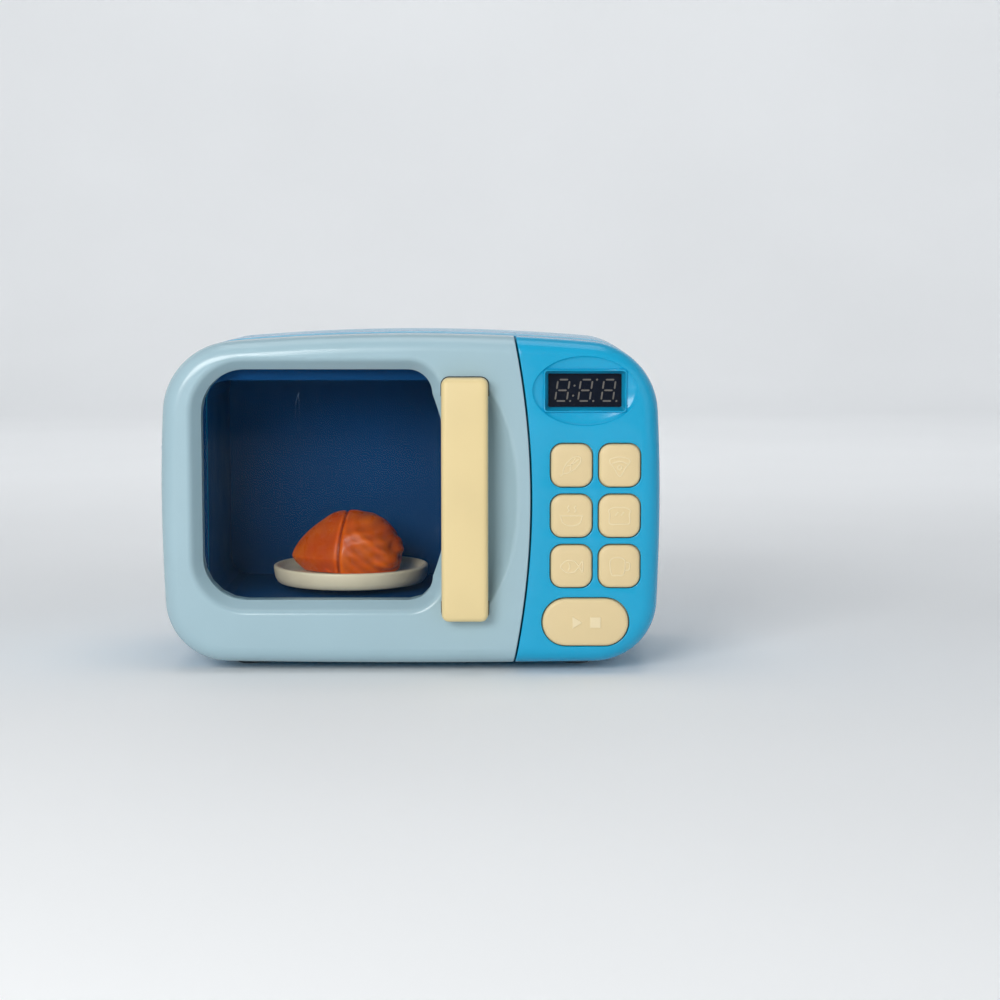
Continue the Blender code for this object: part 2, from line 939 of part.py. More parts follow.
light_y = cavity_y
light_z = cavity_floor + cavity_height * 0.72


def light_parts():
    """A lens pushed through the cavity's wall from outside, and the lamp behind it."""
    back = liner_wall + fit_gap + light_flange
    edge = light_radius + light_flange
    lens = turned(
        "light_lens",
        [
            (0, light_dome),
            (light_radius * 0.7, light_dome * 0.7),
            (light_radius, 0),
            (light_radius, -liner_wall - fit_gap),
            (edge, -liner_wall - fit_gap),
            (edge, -back),
            (0, -back),
        ],
    )
    lamp = turned(
        "light_led",
        [
            (0, -back - fit_gap),
            (led_radius * 0.7, -back - fit_gap - led_radius * 0.3),
            (led_radius, -back - fit_gap - led_radius),
            (led_radius, -back - led_length),
            (0, -back - led_length),
        ],
        screw_steps,
    )
    for obj in (lens, lamp):
        obj.location = (cavity_right, light_y, light_z)
        obj.rotation_euler = (0, -math.pi / 2, 0)
    finish(lens, plastic("red_lens", (0.55, 0.05, 0.02), 0.15))
    finish(lamp, plastic("lamp_epoxy", (0.8, 0.25, 0.1), 0.2))


def keys():
    """The six square buttons and the long one, each with a lip behind the panel."""
    front = face_y - button_proud
    material = plastic("cream_key", cream, 0.45)
    for index, (place, width, height, radius) in enumerate(key_shapes(), start=1):
        name = f"button_{index}" if index <= button_rows * button_columns else "start_button"
        outline = button_outline(width, height, radius, 0, (0, 0))
        lip_outline = button_outline(width, height, radius, flange_lap, (0, 0))
        key = slab(
            name, [outline], front, flange_back_y, pieces, front_round=button_round, steps=button_edge_steps
        )
        lip = slab(f"{name}_lip", [lip_outline], flange_front_y, flange_back_y)
        for obj in (key, lip):
            obj.location.x, obj.location.z = place
        combine(key, lip, how="UNION")
        finish(key, material)


def keypad_and_board():
    board_left = buttons_x - button_column_pitch / 2 - button_width / 2 - board_margin
    board_right = buttons_x + button_column_pitch / 2 + plunger_size / 2 + board_margin / 3
    board_low = start_z - start_height * 0.45
    board_top = display_z + display_height / 2 + flange_lap
    narrow_right = post_places[2][0] - case_post_radius - flange_lap
    step_z = post_places[2][1] - case_post_radius - flange_lap
    mat_top = lowest_row_z + (button_rows - 0.5) * button_row_pitch - flange_lap * 3
    plungers = [
        rounded_rect(plunger_size, plunger_size, plunger_size / 4, place, 1) for place, *_ in key_shapes()
    ]
    mat = slab(
        "keypad_mat",
        [box_outline(board_left, board_right, board_low, mat_top)],
        mat_back_y - mat_thickness,
        mat_back_y,
        pieces,
    )
    posts_start = flange_back_y + button_travel + fit_gap / 2
    posts = slab("plungers", plungers, posts_start, mat_back_y - mat_thickness / 2)
    combine(mat, posts, how="UNION")
    corner_boss = board_screw_places[2]
    notch = slab(
        "mat_notch",
        [circle(board_boss_radius + fit_gap, corner_boss, screw_steps)],
        mat_back_y - mat_thickness - overrun,
        mat_back_y + overrun,
    )
    combine(mat, notch)
    finish(mat, plastic("grey_rubber", grey, 0.8))
    ear_x, ear_z = board_screw_places[2]
    ear = board_screw_radius * 2
    outline = [
        (narrow_right, board_top),
        (board_left, board_top),
        (board_left, ear_z + ear),
        (ear_x - ear, ear_z + ear),
        (ear_x - ear, ear_z - ear),
        (board_left, ear_z - ear),
        (board_left, board_low),
        (board_right, board_low),
        (board_right, step_z),
        (narrow_right, step_z),
    ]
    holes = [circle(board_screw_radius + screw_gap, place, screw_steps) for place in board_screw_places]
    board = slab(
        "main_pcb", [outline, *holes], board_front_y, board_front_y + board_thickness, pieces
    )
    finish(board, plastic("green_board", green, 0.4))
    display = slab(
        "led_display",
        [
            rounded_rect(
                display_width + display_frame / 2,
                display_height + display_frame / 2,
                display_frame / 4,
                (display_x, display_z),
            )
        ],
        display_front_y,
        board_front_y - fit_gap,
        pieces,
    )
    finish(display, plastic("display_black", black, 0.15))
    profile = screw_profile(
        board_screw_radius, board_thickness + door_screw_length * 0.6, door_head_radius, door_head_height
    )
    material = plastic("zinc", steel, 0.35, 1.0)
    for index, place in enumerate(board_screw_places, start=1):
        seat = board_front_y + board_thickness + fit_gap
        add_screw(f"pcb_screw_{index}", profile, place, seat, 1, material)


def add_screw(name, profile, place, y, facing, material):
    """A screw along Y with its head's underside at y. facing 1 points the head to +Y, -1 to -Y."""
    screw = turned(name, profile, screw_steps)
    screw.location = (place[0], y, place[1])
    screw.rotation_euler = (-facing * math.pi / 2, 0, 0)
    return finish(screw, material)


def case_screws():
    profile = screw_profile(case_screw_radius, case_screw_length, case_head_radius, case_head_height)
    material = plastic("case_screw_zinc", steel, 0.35, 1.0)
    seat = split_y + 2 * fit_gap + case_seat_thickness
    for index, place in enumerate(post_places, start=1):
        add_screw(f"case_screw_{index}", profile, place, seat, 1, material)


def speaker():
    depth = speaker_thickness
    rim = speaker_radius - speaker_ring_wall
    obj = turned(
        "speaker",
        [
            (0, -depth * 0.3),
            (speaker_radius * 0.3, -depth * 0.2),
            (rim, -depth * 0.25),
            (rim, 0),
            (speaker_radius, 0),
            (speaker_radius, -depth * 0.4),
            (speaker_radius * 0.55, -depth * 0.7),
            (speaker_radius * 0.55, -depth),
            (0, -depth),
        ],
    )
    obj.location = (speaker_x, speaker_back_y, speaker_z)
    obj.rotation_euler = (-math.pi / 2, 0, 0)
    return finish(obj, plastic("speaker_black", black, 0.5))


def power_switch():
    """The slider that shows at the back, with its lip inside the wall, and the switch behind it."""
    inner = back_y - wall
    start_x_place = slider_x - slider_travel / 2
    knob = slab(
        "power_slider",
        [rounded_rect(slider_length, slider_height, slider_height / 8, (0, 0), 1)],
        inner - fit_gap - flange_thickness / 2,
        back_y,
        pieces,
    )
    lip = slab(
        "slider_lip",
        [
            rounded_rect(
                slider_length + 2 * slider_travel,
                slider_height + 2 * flange_lap,
                slider_height / 8,
                (0, 0),
                1,
            )
        ],
        inner - fit_gap - flange_thickness,
        inner - fit_gap,
    )
    for obj in (knob, lip):
        obj.location.x, obj.location.z = start_x_place, slider_z
    combine(knob, lip, how="UNION")
    finish(knob, plastic("switch_black", black, 0.4))
    body_back = inner - 2 * fit_gap - flange_thickness
    body = slab(
        "power_switch",
        [
            rounded_rect(
                slider_length + 2 * slider_travel,
                slider_height + 2 * flange_lap,
                slider_height / 8,
                (slider_x, slider_z),
                1,
            )
        ],
        body_back - switch_depth,
        body_back,
        pieces,
    )
    finish(body, plastic("switch_grey", grey, 0.4))
    return joint_piece("power_slider_axis", (start_x_place, back_y, slider_z), knob)


def joint_piece(name, place, *children):
    empty = joint_empty(name, place)
    hang_on(empty, *children)
    return empty


def battery_box():
    outer_low, outer_high = battery_low - battery_wall, battery_high + battery_wall
    inside = box_outline(battery_left, battery_right, battery_low, battery_high)
    lip = battery_flange
    width, height = battery_inner_length + 2 * battery_wall, outer_high - outer_low
    middle = (compartment_x, (outer_high + outer_low) / 2)
    outside = rounded_rect(width, height, battery_rim_radius - lip, middle)
    rim = rounded_rect(width + 2 * lip, height + 2 * lip, battery_rim_radius, middle)
    inner_y = battery_open_y - battery_depth
    box = slab("battery_box", [outside], inner_y - battery_wall, battery_open_y, pieces)
    flange = slab("battery_rim", [rim], battery_open_y - battery_wall, battery_open_y)
    boss = slab(
        "battery_boss", [circle(battery_screw_boss, battery_screw_place)], inner_y, battery_open_y
    )
    space = slab("battery_space", [inside], inner_y, battery_open_y + overrun)
    hole = slab(
        "battery_screw_hole",
        [circle(door_screw_radius + screw_gap, battery_screw_place, screw_steps)],
        battery_open_y - door_screw_length,
        battery_open_y + overrun,
    )
    combine(box, flange, boss, how="UNION")
    combine(box, space, hole)
    finish(box, plastic("battery_box_plastic", azure, 0.4))


def batteries():
    """Three cells side by side, each turned the other way from the next, and a contact at each end."""
    nub = cell_nub_radius
    profile = [
        (0, cell_length / 2 + cell_nub_length),
        (nub, cell_length / 2 + cell_nub_length),
        (nub, cell_length / 2),
        (cell_radius, cell_length / 2),
        (cell_radius, -cell_length / 2),
        (0, -cell_length / 2),
    ]
    y = battery_open_y - battery_depth + fit_gap + cell_radius
    material = plastic("cell_wrap", grey, 0.3, 0.6)
    for index in range(cells):
        cell = turned(f"battery_{index + 1}", profile)
        way = 1 if index % 2 else -1
        middle = compartment_x - way * cell_nub_length / 2
        cell.location = (middle, y, battery_low + cell_pitch * (index + 0.5))
        cell.rotation_euler = (0, way * math.pi / 2, 0)
        finish(cell, material)
    metal = plastic("contact_steel", steel, 0.3, 1.0)
    for side, name in ((-1, "battery_contact_left"), (1, "battery_contact_right")):
        wall_x = battery_left if side < 0 else battery_right
        ends = sorted((wall_x - side * fit_gap, wall_x - side * (fit_gap + contact_thickness)))
        outline = box_outline(*ends, battery_low + fit_gap, battery_high - fit_gap)
        contact = slab(name, [outline], y - cell_radius * 0.7, y + cell_radius * 0.7, pieces)
        finish(contact, metal)


def battery_door():
    outline = battery_door_outline(0)
    inner = back_y - battery_door_thickness
    door = slab("battery_door", [outline], inner, back_y, pieces)
    shank = slab(
        "battery_door_hole",
        [circle(door_screw_radius + screw_gap, battery_screw_place, screw_steps)],
        inner - overrun,
        back_y + overrun,
    )
    head = slab(
        "battery_head_hole",
        [circle(door_head_radius + fit_gap, battery_screw_place, screw_steps)],
        back_y - door_head_height,
        back_y + overrun,
    )
    combine(door, shank, head)
    finish(door, plastic("battery_door_plastic", azure, 0.35))
    profile = screw_profile(
        door_screw_radius,
        door_screw_length,
        door_head_radius,
        door_head_height - fit_gap,
    )
    screw = add_screw(
        "battery_door_screw",
        profile,
        battery_screw_place,
        back_y - door_head_height + screw_gap,
        1,
        plastic("battery_screw_zinc", steel, 0.35, 1.0),
    )
    joint_piece("battery_door_axis", (compartment_x, back_y, battery_screw_z), door, screw)


def feet():
    material = plastic("foot_rubber", grey, 0.8)
    for index, (x, y) in enumerate(foot_places, start=1):
        drop = crown_bottom * min(1, (abs(x) + foot_radius) / half_width) ** 2
        top = foot_height - fit_gap
        peg_top = foot_height + drop + wall + foot_peg_length / 2
        foot = turned(
            f"foot_{index}",
            [
                (0, peg_top),
                (foot_peg_radius, peg_top),
                (foot_peg_radius, top),
                (foot_radius, top),
                (foot_radius, top / 4),
                (foot_radius - top / 4, 0),
                (0, 0),
            ],
        )
        foot.location = (x, y, 0)
        finish(foot, material)


# Heights of the turntable's drive, from the cavity floor down
cover_top = cavity_floor - liner_wall - fit_gap
cover_bottom = cover_top - gearbox_wall
gear_top = cover_bottom - fit_gap * 2
gear_bottom = gear_top - gear_thickness
gearbox_floor = gear_bottom - fit_gap
gearbox_bottom = gearbox_floor - gearbox_wall
motor_top = gearbox_bottom - fit_gap
spindle_pitch = gear_module * spindle_teeth / 2
idler_pitch = gear_module * idler_teeth / 2
pinion_pitch = gear_module * pinion_teeth / 2
idler_x = cavity_x + spindle_pitch + idler_pitch
pinion_x = idler_x + idler_pitch + pinion_pitch
plate_bottom = cavity_floor + plate_bottom_lift
plate_top = plate_bottom + plate_rim_height
plate_floor = plate_top - plate_floor_drop


def gearbox():
    tip = gear_module
    left = cavity_x - spindle_pitch - tip - gearbox_margin - gearbox_wall
    right = pinion_x + pinion_pitch + tip + gearbox_margin + gearbox_wall
    width = right - left
    height = 2 * (spindle_pitch + tip + gearbox_margin + gearbox_wall)
    middle = ((left + right) / 2, cavity_y)
    corner = gearbox_margin * 3
    outer = rounded_rect(width, height, corner)
    inner = rounded_rect(width - 2 * gearbox_wall, height - 2 * gearbox_wall, corner - gearbox_wall)
    rim = cover_bottom - fit_gap
    case = layer("gearbox_case", [outer], gearbox_bottom, rim, pieces, middle)
    space = layer("gearbox_space", [inner], gearbox_floor, rim + overrun, cutters, middle)
    combine(space, upright("idler_axle", axle_radius, (idler_x, cavity_y), gearbox_bottom, gear_top))
    journal = upright(
        "journal_hole",
        journal_radius + pin_gap,
        (cavity_x, cavity_y),
        gearbox_bottom - overrun,
        gearbox_floor + overrun,
    )
    shaft = upright(
        "shaft_hole",
        motor_shaft_radius + pin_gap * 2,
        (pinion_x, cavity_y),
        gearbox_bottom - overrun,
        gearbox_floor + overrun,
        screw_steps,
    )
    combine(case, space, journal, shaft)
    finish(case, plastic("gearbox_white", (0.7, 0.7, 0.68), 0.45))
    cover = layer("gearbox_cover", [outer], cover_bottom, cover_top, pieces, middle)
    combine(
        cover,
        upright(
            "cover_hole",
            drive_hex_radius + fit_gap,
            (cavity_x, cavity_y),
            cover_bottom - overrun,
            cover_top + overrun,
        ),
    )
    finish(cover, plastic("gearbox_cover_white", (0.7, 0.7, 0.68), 0.45))


def gears():
    nylon = plastic("gear_nylon", (0.75, 0.73, 0.66), 0.4)
    hexagon = circle(drive_hex_radius, steps=6)
    spindle = layer(
        "spindle_gear", [gear_outline(spindle_teeth, 0)], gear_bottom, gear_top, pieces, (cavity_x, cavity_y)
    )
    shaft_top = plate_floor - plate_floor_thickness / 2
    shaft = layer(
        "drive_hexagon", [hexagon], gear_top - gear_thickness / 2, shaft_top, cutters, (cavity_x, cavity_y)
    )
    journal_low = gearbox_floor - journal_length
    journal = upright(
        "journal", journal_radius, (cavity_x, cavity_y), journal_low, gear_bottom + pin_radius
    )
    combine(spindle, shaft, journal, how="UNION")
    finish(spindle, nylon)
    idler_turn = math.pi / idler_teeth
    idler = layer(
        "idler_gear",
        [gear_outline(idler_teeth, idler_turn), circle(axle_radius + pin_gap)],
        gear_bottom,
        gear_top,
        pieces,
        (idler_x, cavity_y),
    )
    finish(idler, nylon)
    pinion = layer(
        "motor_pinion", [gear_outline(pinion_teeth, 0)], gear_bottom, gear_top, pieces, (pinion_x, cavity_y)
    )
    stub = upright(
        "pinion_stub",
        motor_shaft_radius,
        (pinion_x, cavity_y),
        motor_top - motor_shaft_reach,
        gear_bottom + gear_thickness / 2,
        screw_steps,
    )
    combine(pinion, stub, how="UNION")
    finish(pinion, plastic("pinion_brass", (0.7, 0.5, 0.2), 0.35, 1.0))
    can = motor_radius
    hole = motor_shaft_radius + pin_gap * 2
    floor = -motor_shaft_reach - fit_gap
    motor = turned(
        "drive_motor",
        [
            (0, floor),
            (hole, floor),
            (hole, 0),
            (can * 0.3, 0),
            (can * 0.3, -gearbox_wall / 2),
            (can * 0.94, -gearbox_wall / 2),
            (can, -gearbox_wall),
            (can, -motor_height),
            (0, -motor_height),
        ],
    )
    motor.location = (pinion_x, cavity_y, motor_top)
    finish(motor, plastic("motor_can", steel, 0.3, 1.0))
    return spindle, idler, pinion


def turntable(spindle, idler, pinion):
    rim = plate_radius
    inner = rim - plate_rim_width
    floor_under = plate_floor - plate_floor_thickness
    plate = turned(
        "turntable_plate",
        [
            (0, plate_floor),
            (inner - plate_rim_width / 2, plate_floor),
            (inner, plate_top - fit_gap),
            (rim - fit_gap * 2, plate_top),
            (rim, plate_top - fit_gap * 2),
            (rim, plate_bottom + fit_gap * 2),
            (rim - fit_gap * 2, plate_bottom),
            (inner, plate_bottom),
            (inner - plate_rim_width / 2, floor_under),
            (hub_radius, floor_under),
            (hub_radius, floor_under - hub_height),
            (0, floor_under - hub_height),
        ],
        circle_steps * 2,
    )
    plate.location = (cavity_x, cavity_y, 0)
    socket = layer(
        "hub_socket",
        [circle(drive_hex_radius + drive_gap, steps=6)],
        floor_under - hub_height - overrun,
        plate_floor - plate_floor_thickness / 2 + fit_gap,
        cutters,
        (cavity_x, cavity_y),
    )
    combine(plate, socket)
    finish(plate, plastic("plate_cream", cream, 0.4))
    food = play_food()
    joint_piece("turntable_axis", (cavity_x, cavity_y, plate_floor), plate, spindle, food)
    joint_piece("idler_axis", (idler_x, cavity_y, gear_bottom), idler)
    joint_piece("pinion_axis", (pinion_x, cavity_y, gear_bottom), pinion)


# Leg, wing and far leg of the roast, in shares of its half sizes: (height, x, y, z, spread)
roast_lumps = [
    (0.13, 0.72, -0.55, -0.15, 0.10),
    (0.10, 0.30, -0.80, 0.25, 0.08),
    (0.13, 0.72, 0.55, -0.15, 0.10),
]


def swell(across, away, up):
    """How far the roast bird's skin stands from a plain ellipsoid, for a direction from its middle."""
    crease_x, crease_width, crease_share, crease_low = -0.04, 0.10, 0.10, -0.3
    crease_depth = crease_share * max(0, up - crease_low)
    crease = -crease_depth * math.exp(-(((across - crease_x) / crease_width) ** 2))
    tail_share, tail_x, tail_z, tail_spread = 0.16, -1.0, -0.35, 0.12
    tail = tail_share * math.exp(-((across - tail_x) ** 2 + (up - tail_z) ** 2) / tail_spread)
    lumps = 0
    for share, lump_x, lump_y, lump_z, spread in roast_lumps:
        reach = (across - lump_x) ** 2 + (up - lump_z) ** 2 + (away - lump_y) ** 2
        lumps += share * math.exp(-reach / spread)
    return 1 + crease + tail + lumps


def play_food():
    """A small roast bird: an ellipsoid swelled into legs, wing and tail, and cut flat underneath."""
    seat_share, swell_share, forward_share = 0.62, 0.93, 0.02
    mesh = bpy.data.meshes.new("roast_chicken")
    work = bmesh.new()
    bmesh.ops.create_uvsphere(work, u_segments=20, v_segments=12, radius=1)
    for vert in work.verts:
        across, away, up = vert.co
        out = swell(across, away, up) * swell_share
        up = max(up * out, -seat_share)
        height_share = food_height / (1 + seat_share)
        vert.co = (across * out * food_width / 2, away * out * food_depth / 2, (up + seat_share) * height_share)
    bmesh.ops.recalc_face_normals(work, faces=work.faces)
    work.to_mesh(mesh)
    work.free()
    food = make_object("roast_chicken", mesh, pieces)
    food.location = (cavity_x, cavity_y - food_depth * forward_share, plate_floor + fit_gap)
    return finish(food, plastic("roast_skin", (0.55, 0.12, 0.02), 0.25))


def door_posts():
    """Where the six screws sit: three above the window and three below it."""
    high_share, low_share = 0.44, 0.60
    high = window_top + funnel_width + door_post_radius
    low = (foot_height + window_bottom - funnel_width) / 2
    middle, half = (edge_x - half_width) / 2, (edge_x + half_width) / 2
    rows = ((high, high_share * half), (low, low_share * half))
    return [(middle + step * spread, height) for height, spread in rows for step in (-1, 0, 1)]


def dish_cutter(name, grow):
    """The finger dish behind the handle, without the two pads on which the handle's ends stand."""
    dish = ellipsoid(
        name,
        dish_half_width + grow,
        dish_depth + grow,
        dish_half_height + grow,
        (handle_x, face_y, dish_z),
    )
    return dish


def handle_pads(name, grow):
    pads = [
        rounded_rect(
            handle_width - 2 * handle_round + 2 * grow,
            handle_foot_length + 2 * grow,
            handle_round,
            (handle_x, handle_z + up * (handle_length - handle_foot_length) / 2),
        )
        for up in (-1, 1)
    ]
    return slab(name, pads, face_y - overrun, face_y + dish_depth + dish_wall)


def peg_places():
    reach = (handle_length - handle_foot_length) / 2
    return [(handle_x, handle_z - reach), (handle_x, handle_z + reach)]


def hinge_notch():
    """The room for the lug: open to the left and the back, with the door's front skin left before it."""
    radius = lug_radius + lug_clearance
    skin_end = math.radians(215)
    far_x, far_y = -half_width - overrun - hinge_x, door_back_y + overrun - hinge_y
    points = [(notch_reach, far_y), (far_x, far_y), (far_x, radius * math.sin(skin_end))]
    points += arc((0, 0), radius, skin_end, math.pi * 1.5, corner_steps)
    points.append((notch_reach, -radius))
    half = notch_height / 2
    return layer("hinge_notch", [points], mid_z - half, mid_z + half, cutters, (hinge_x, hinge_y))


def notch_outline(grow):
    return box_outline(
        -half_width - overrun,
        hinge_x + notch_reach + grow,
        mid_z - notch_height / 2 - grow,
        mid_z + notch_height / 2 + grow,
    )


def door_frame():
    frame = slab("door_frame", [body_outline()], face_y, door_back_y, pieces, front_round=front_rim_radius)
    edge = slab("door_side", [left_of_edge(0)], face_y - overrun, door_back_y + overrun)
    combine(frame, edge, how="INTERSECT")
    hollow = slab(
        "door_hollow",
        [body_outline(wall)],
        face_y + wall,
        door_back_y + overrun,
        front_round=front_rim_radius - wall,
    )
    inner_edge = slab("hollow_side", [left_of_edge(-wall)], face_y - overrun, door_back_y + 2 * overrun)
    combine(hollow, inner_edge, how="INTERSECT")
    rib = slab(
        "hinge_rib",
        [box_outline(-half_width - overrun, -half_width + hinge_rib, foot_height, top_z)],
        face_y,
        door_back_y + 2 * overrun,
    )
    notch_keep = slab("notch_keep", [notch_outline(wall)], face_y, door_back_y + 2 * overrun)
    collar = slab(
        "window_collar",
        [window_outline(funnel_width + collar_wall)],
        face_y,
        pane_front_y - fit_gap,
    )
    post_depth = panel_front_y - fit_gap
    posts = slab(
        "door_posts", [circle(door_post_radius, place) for place in door_posts()], face_y, post_depth
    )
    bowl = dish_cutter("dish_bowl", dish_wall)
    sockets = slab(
        "peg_sockets", [circle(peg_radius + wall, place) for place in peg_places()], face_y, post_depth
    )
    pads_keep = handle_pads("pads_keep", dish_wall)
    combine(hollow, rib, notch_keep, collar, posts, bowl, sockets, pads_keep)
    dish = dish_cutter("finger_dish", 0)
    ridge = slab(
        "dish_ridge",
        [window_outline(funnel_width + dish_to_funnel)],
        face_y - overrun,
        face_y + dish_depth + dish_wall,
    )
    combine(dish, handle_pads("handle_pads", 0), ridge)
    funnel = tapered_hole(
        "window_funnel",
        window_outline(funnel_width),
        window_outline(0),
        face_y - fit_gap / 3,
        face_y + funnel_depth,
    )
    window = slab("window_hole", [window_outline(0)], face_y - overrun, door_back_y + overrun)
    relief = hinge_relief()
    pin_bore = upright(
        "door_pin_bore",
        pin_radius + pin_gap,
        (hinge_x, hinge_y),
        mid_z - notch_height / 2 - pin_reach,
        mid_z + notch_height / 2 + pin_reach,
    )
    peg_bores = slab(
        "peg_bores",
        [circle(peg_radius + screw_gap, place, screw_steps) for place in peg_places()],
        face_y - overrun,
        face_y + peg_length + fit_gap,
    )
    screw_bores = slab(
        "door_screw_bores",
        [circle(door_screw_radius + screw_gap, place, screw_steps) for place in door_posts()],
        panel_front_y - door_screw_length,
        door_back_y,
    )
    combine(frame, hollow, dish, funnel, window, hinge_notch(), relief, pin_bore, peg_bores, screw_bores)
    return finish(frame, plastic("pale_blue_plastic", pale_blue, 0.35))


def hinge_relief():
    """Rounds the door's back left edge about the hinge, so that it clears the seat as it swings."""
    centre = (hinge_x - hinge_inset + hinge_back_round, door_back_y - hinge_back_round)
    far_x, far_y = -half_width - overrun, door_back_y + overrun
    points = [(far_x, far_y), (centre[0], far_y)]
    points += arc(centre, hinge_back_round, math.pi / 2, math.pi, small_corner_steps)
    points.append((far_x, centre[1]))
    return layer("hinge_relief", [points], foot_height - overrun, top_z + overrun)


def door_inner_panel():
    gap = fit_gap
    panel = slab("door_inner_panel", [body_outline(wall + gap)], panel_front_y, door_back_y, pieces)
    edge = slab("panel_side", [left_of_edge(-wall - gap)], panel_front_y - overrun, door_back_y + overrun)
    combine(panel, edge, how="INTERSECT")
    rib = slab(
        "panel_rib_cut",
        [box_outline(-half_width - overrun, -half_width + hinge_rib + gap, 0, top_z + overrun)],
        panel_front_y - overrun,
        door_back_y + overrun,
    )
    notch = slab("panel_notch", [notch_outline(wall + gap)], panel_front_y - overrun, door_back_y + overrun)
    ring = slab(
        "pane_ring",
        [window_outline(pane_lap), window_outline(gap)],
        pane_back_y + gap,
        panel_front_y + inner_panel_thickness / 2,
    )
    window = slab("panel_window", [window_outline(gap)], pane_back_y - overrun, door_back_y + overrun)
    shanks = slab(
        "panel_screw_holes",
        [circle(door_screw_radius + screw_gap, place, screw_steps) for place in door_posts()],
        panel_front_y - overrun,
        door_back_y + overrun,
    )
    heads = slab(
        "panel_head_holes",
        [circle(door_head_radius + gap, place, head_steps) for place in door_posts()],
        door_back_y - door_head_height - gap / 3,
        door_back_y + overrun,
    )
    slot = slab("panel_catch_slot", [catch_slot(gap)], panel_front_y - overrun, door_back_y + overrun)
    combine(panel, rib, notch, shanks, heads, slot)
    combine(panel, ring, how="UNION")
    combine(panel, window)
    return finish(panel, plastic("inner_panel_plastic", pale_blue, 0.4))


def door_window():
    pane = slab("door_window", [window_outline(pane_lap)], pane_front_y, pane_back_y, pieces)
    return finish(pane, plastic("clear_plastic", (0.85, 0.93, 0.96), 0.05, alpha=0.25))


def door_handle():
    """A straight bar whose underside arches over the finger dish, with a peg at each end."""
    front, back = -handle_proud, -fit_gap
    half = handle_length / 2
    foot = half - handle_foot_length
    points = [(front, half), (front, -half), (back, -half), (back, -foot)]
    arch_steps = corner_steps
    for step in range(1, arch_steps):
        share = step / arch_steps
        rise = handle_arch * math.sin(math.pi * share) ** 0.5
        points.append((back - rise, -foot + 2 * foot * share))
    points += [(back, foot), (back, half)]
    mesh = flat_mesh("door_handle", [points], handle_width)
    round_edges(mesh, handle_round)
    bar = make_object("door_handle", mesh, pieces)
    bar.location = (handle_x, face_y, handle_z)
    bar.rotation_euler = (math.pi / 2, 0, math.pi / 2)
    pegs = slab(
        "handle_pegs",
        [circle(peg_radius, place, screw_steps) for place in peg_places()],
        face_y - handle_proud / 2,
        face_y + peg_length,
    )
    combine(bar, pegs, how="UNION")
    return finish(bar, plastic("handle_cream", cream, 0.4))


def door_catch():
    """A hooked tongue that reaches through a slot in the seat, held behind the inner panel."""
    x = edge_x - catch_from_edge
    half = catch_thickness / 2
    base_back = panel_front_y - fit_gap
    base_front = base_back - flange_thickness
    tip = seat_y + wall + fit_gap + strike_thickness + catch_reach / 3
    points = [
        (catch_base / 2, base_front),
        (catch_base / 2, base_back),
        (half, base_back),
        (half, tip - 2 * catch_bump),
        (half + catch_bump, tip - catch_bump),
        (half, tip),
        (-half, tip),
        (-half, base_back),
        (-catch_base / 2, base_back),
        (-catch_base / 2, base_front),
    ]
    catch = layer(
        "door_catch", [points], mid_z - catch_height / 2, mid_z + catch_height / 2, pieces, (x, 0)
    )
    finish(catch, plastic("catch_white", (0.7, 0.7, 0.68), 0.4))
    front = seat_y + wall + fit_gap
    strike = slab(
        "door_strike",
        [
            rounded_rect(strike_size * 0.7, strike_size, strike_size / 8, (x, mid_z), 1),
            catch_slot(catch_clearance),
        ],
        front,
        front + strike_thickness,
        pieces,
    )
    finish(strike, plastic("strike_steel", steel, 0.3, 1.0))
    return catch


def door():
    frame = door_frame()
    panel = door_inner_panel()
    pane = door_window()
    handle = door_handle()
    catch = door_catch()
    head_height = door_head_height - fit_gap
    profile = screw_profile(door_screw_radius, door_screw_length, door_head_radius, head_height)
    material = plastic("door_screw_zinc", steel, 0.35, 1.0)
    screws = [
        add_screw(f"door_screw_{index}", profile, place, door_back_y - door_head_height, 1, material)
        for index, place in enumerate(door_posts(), start=1)
    ]
    reach = notch_height / 2 + pin_reach - fit_gap
    pin = layer(
        "hinge_pin", [circle(pin_radius)], mid_z - reach, mid_z + reach, pieces, (hinge_x, hinge_y)
    )
    finish(pin, plastic("pin_steel", steel, 0.25, 1.0))
    joint_piece("door_hinge_axis", (hinge_x, hinge_y, mid_z), frame, panel, pane, handle, catch, *screws)


front_housing()
rear_housing()
cavity_liner()
light_parts()
keys()
keypad_and_board()
case_screws()
speaker()
power_switch()
battery_box()
batteries()
battery_door()
feet()
gearbox()
turntable(*gears())
door()
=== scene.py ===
"""The looks of a toy microwave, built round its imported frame.

Metres, X to the right, the front faces -Y, Z up.
"""

import json
import math

import bmesh
import bpy
import numpy as np
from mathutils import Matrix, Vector
from mathutils.geometry import delaunay_2d_cdt, tessellate_polygon

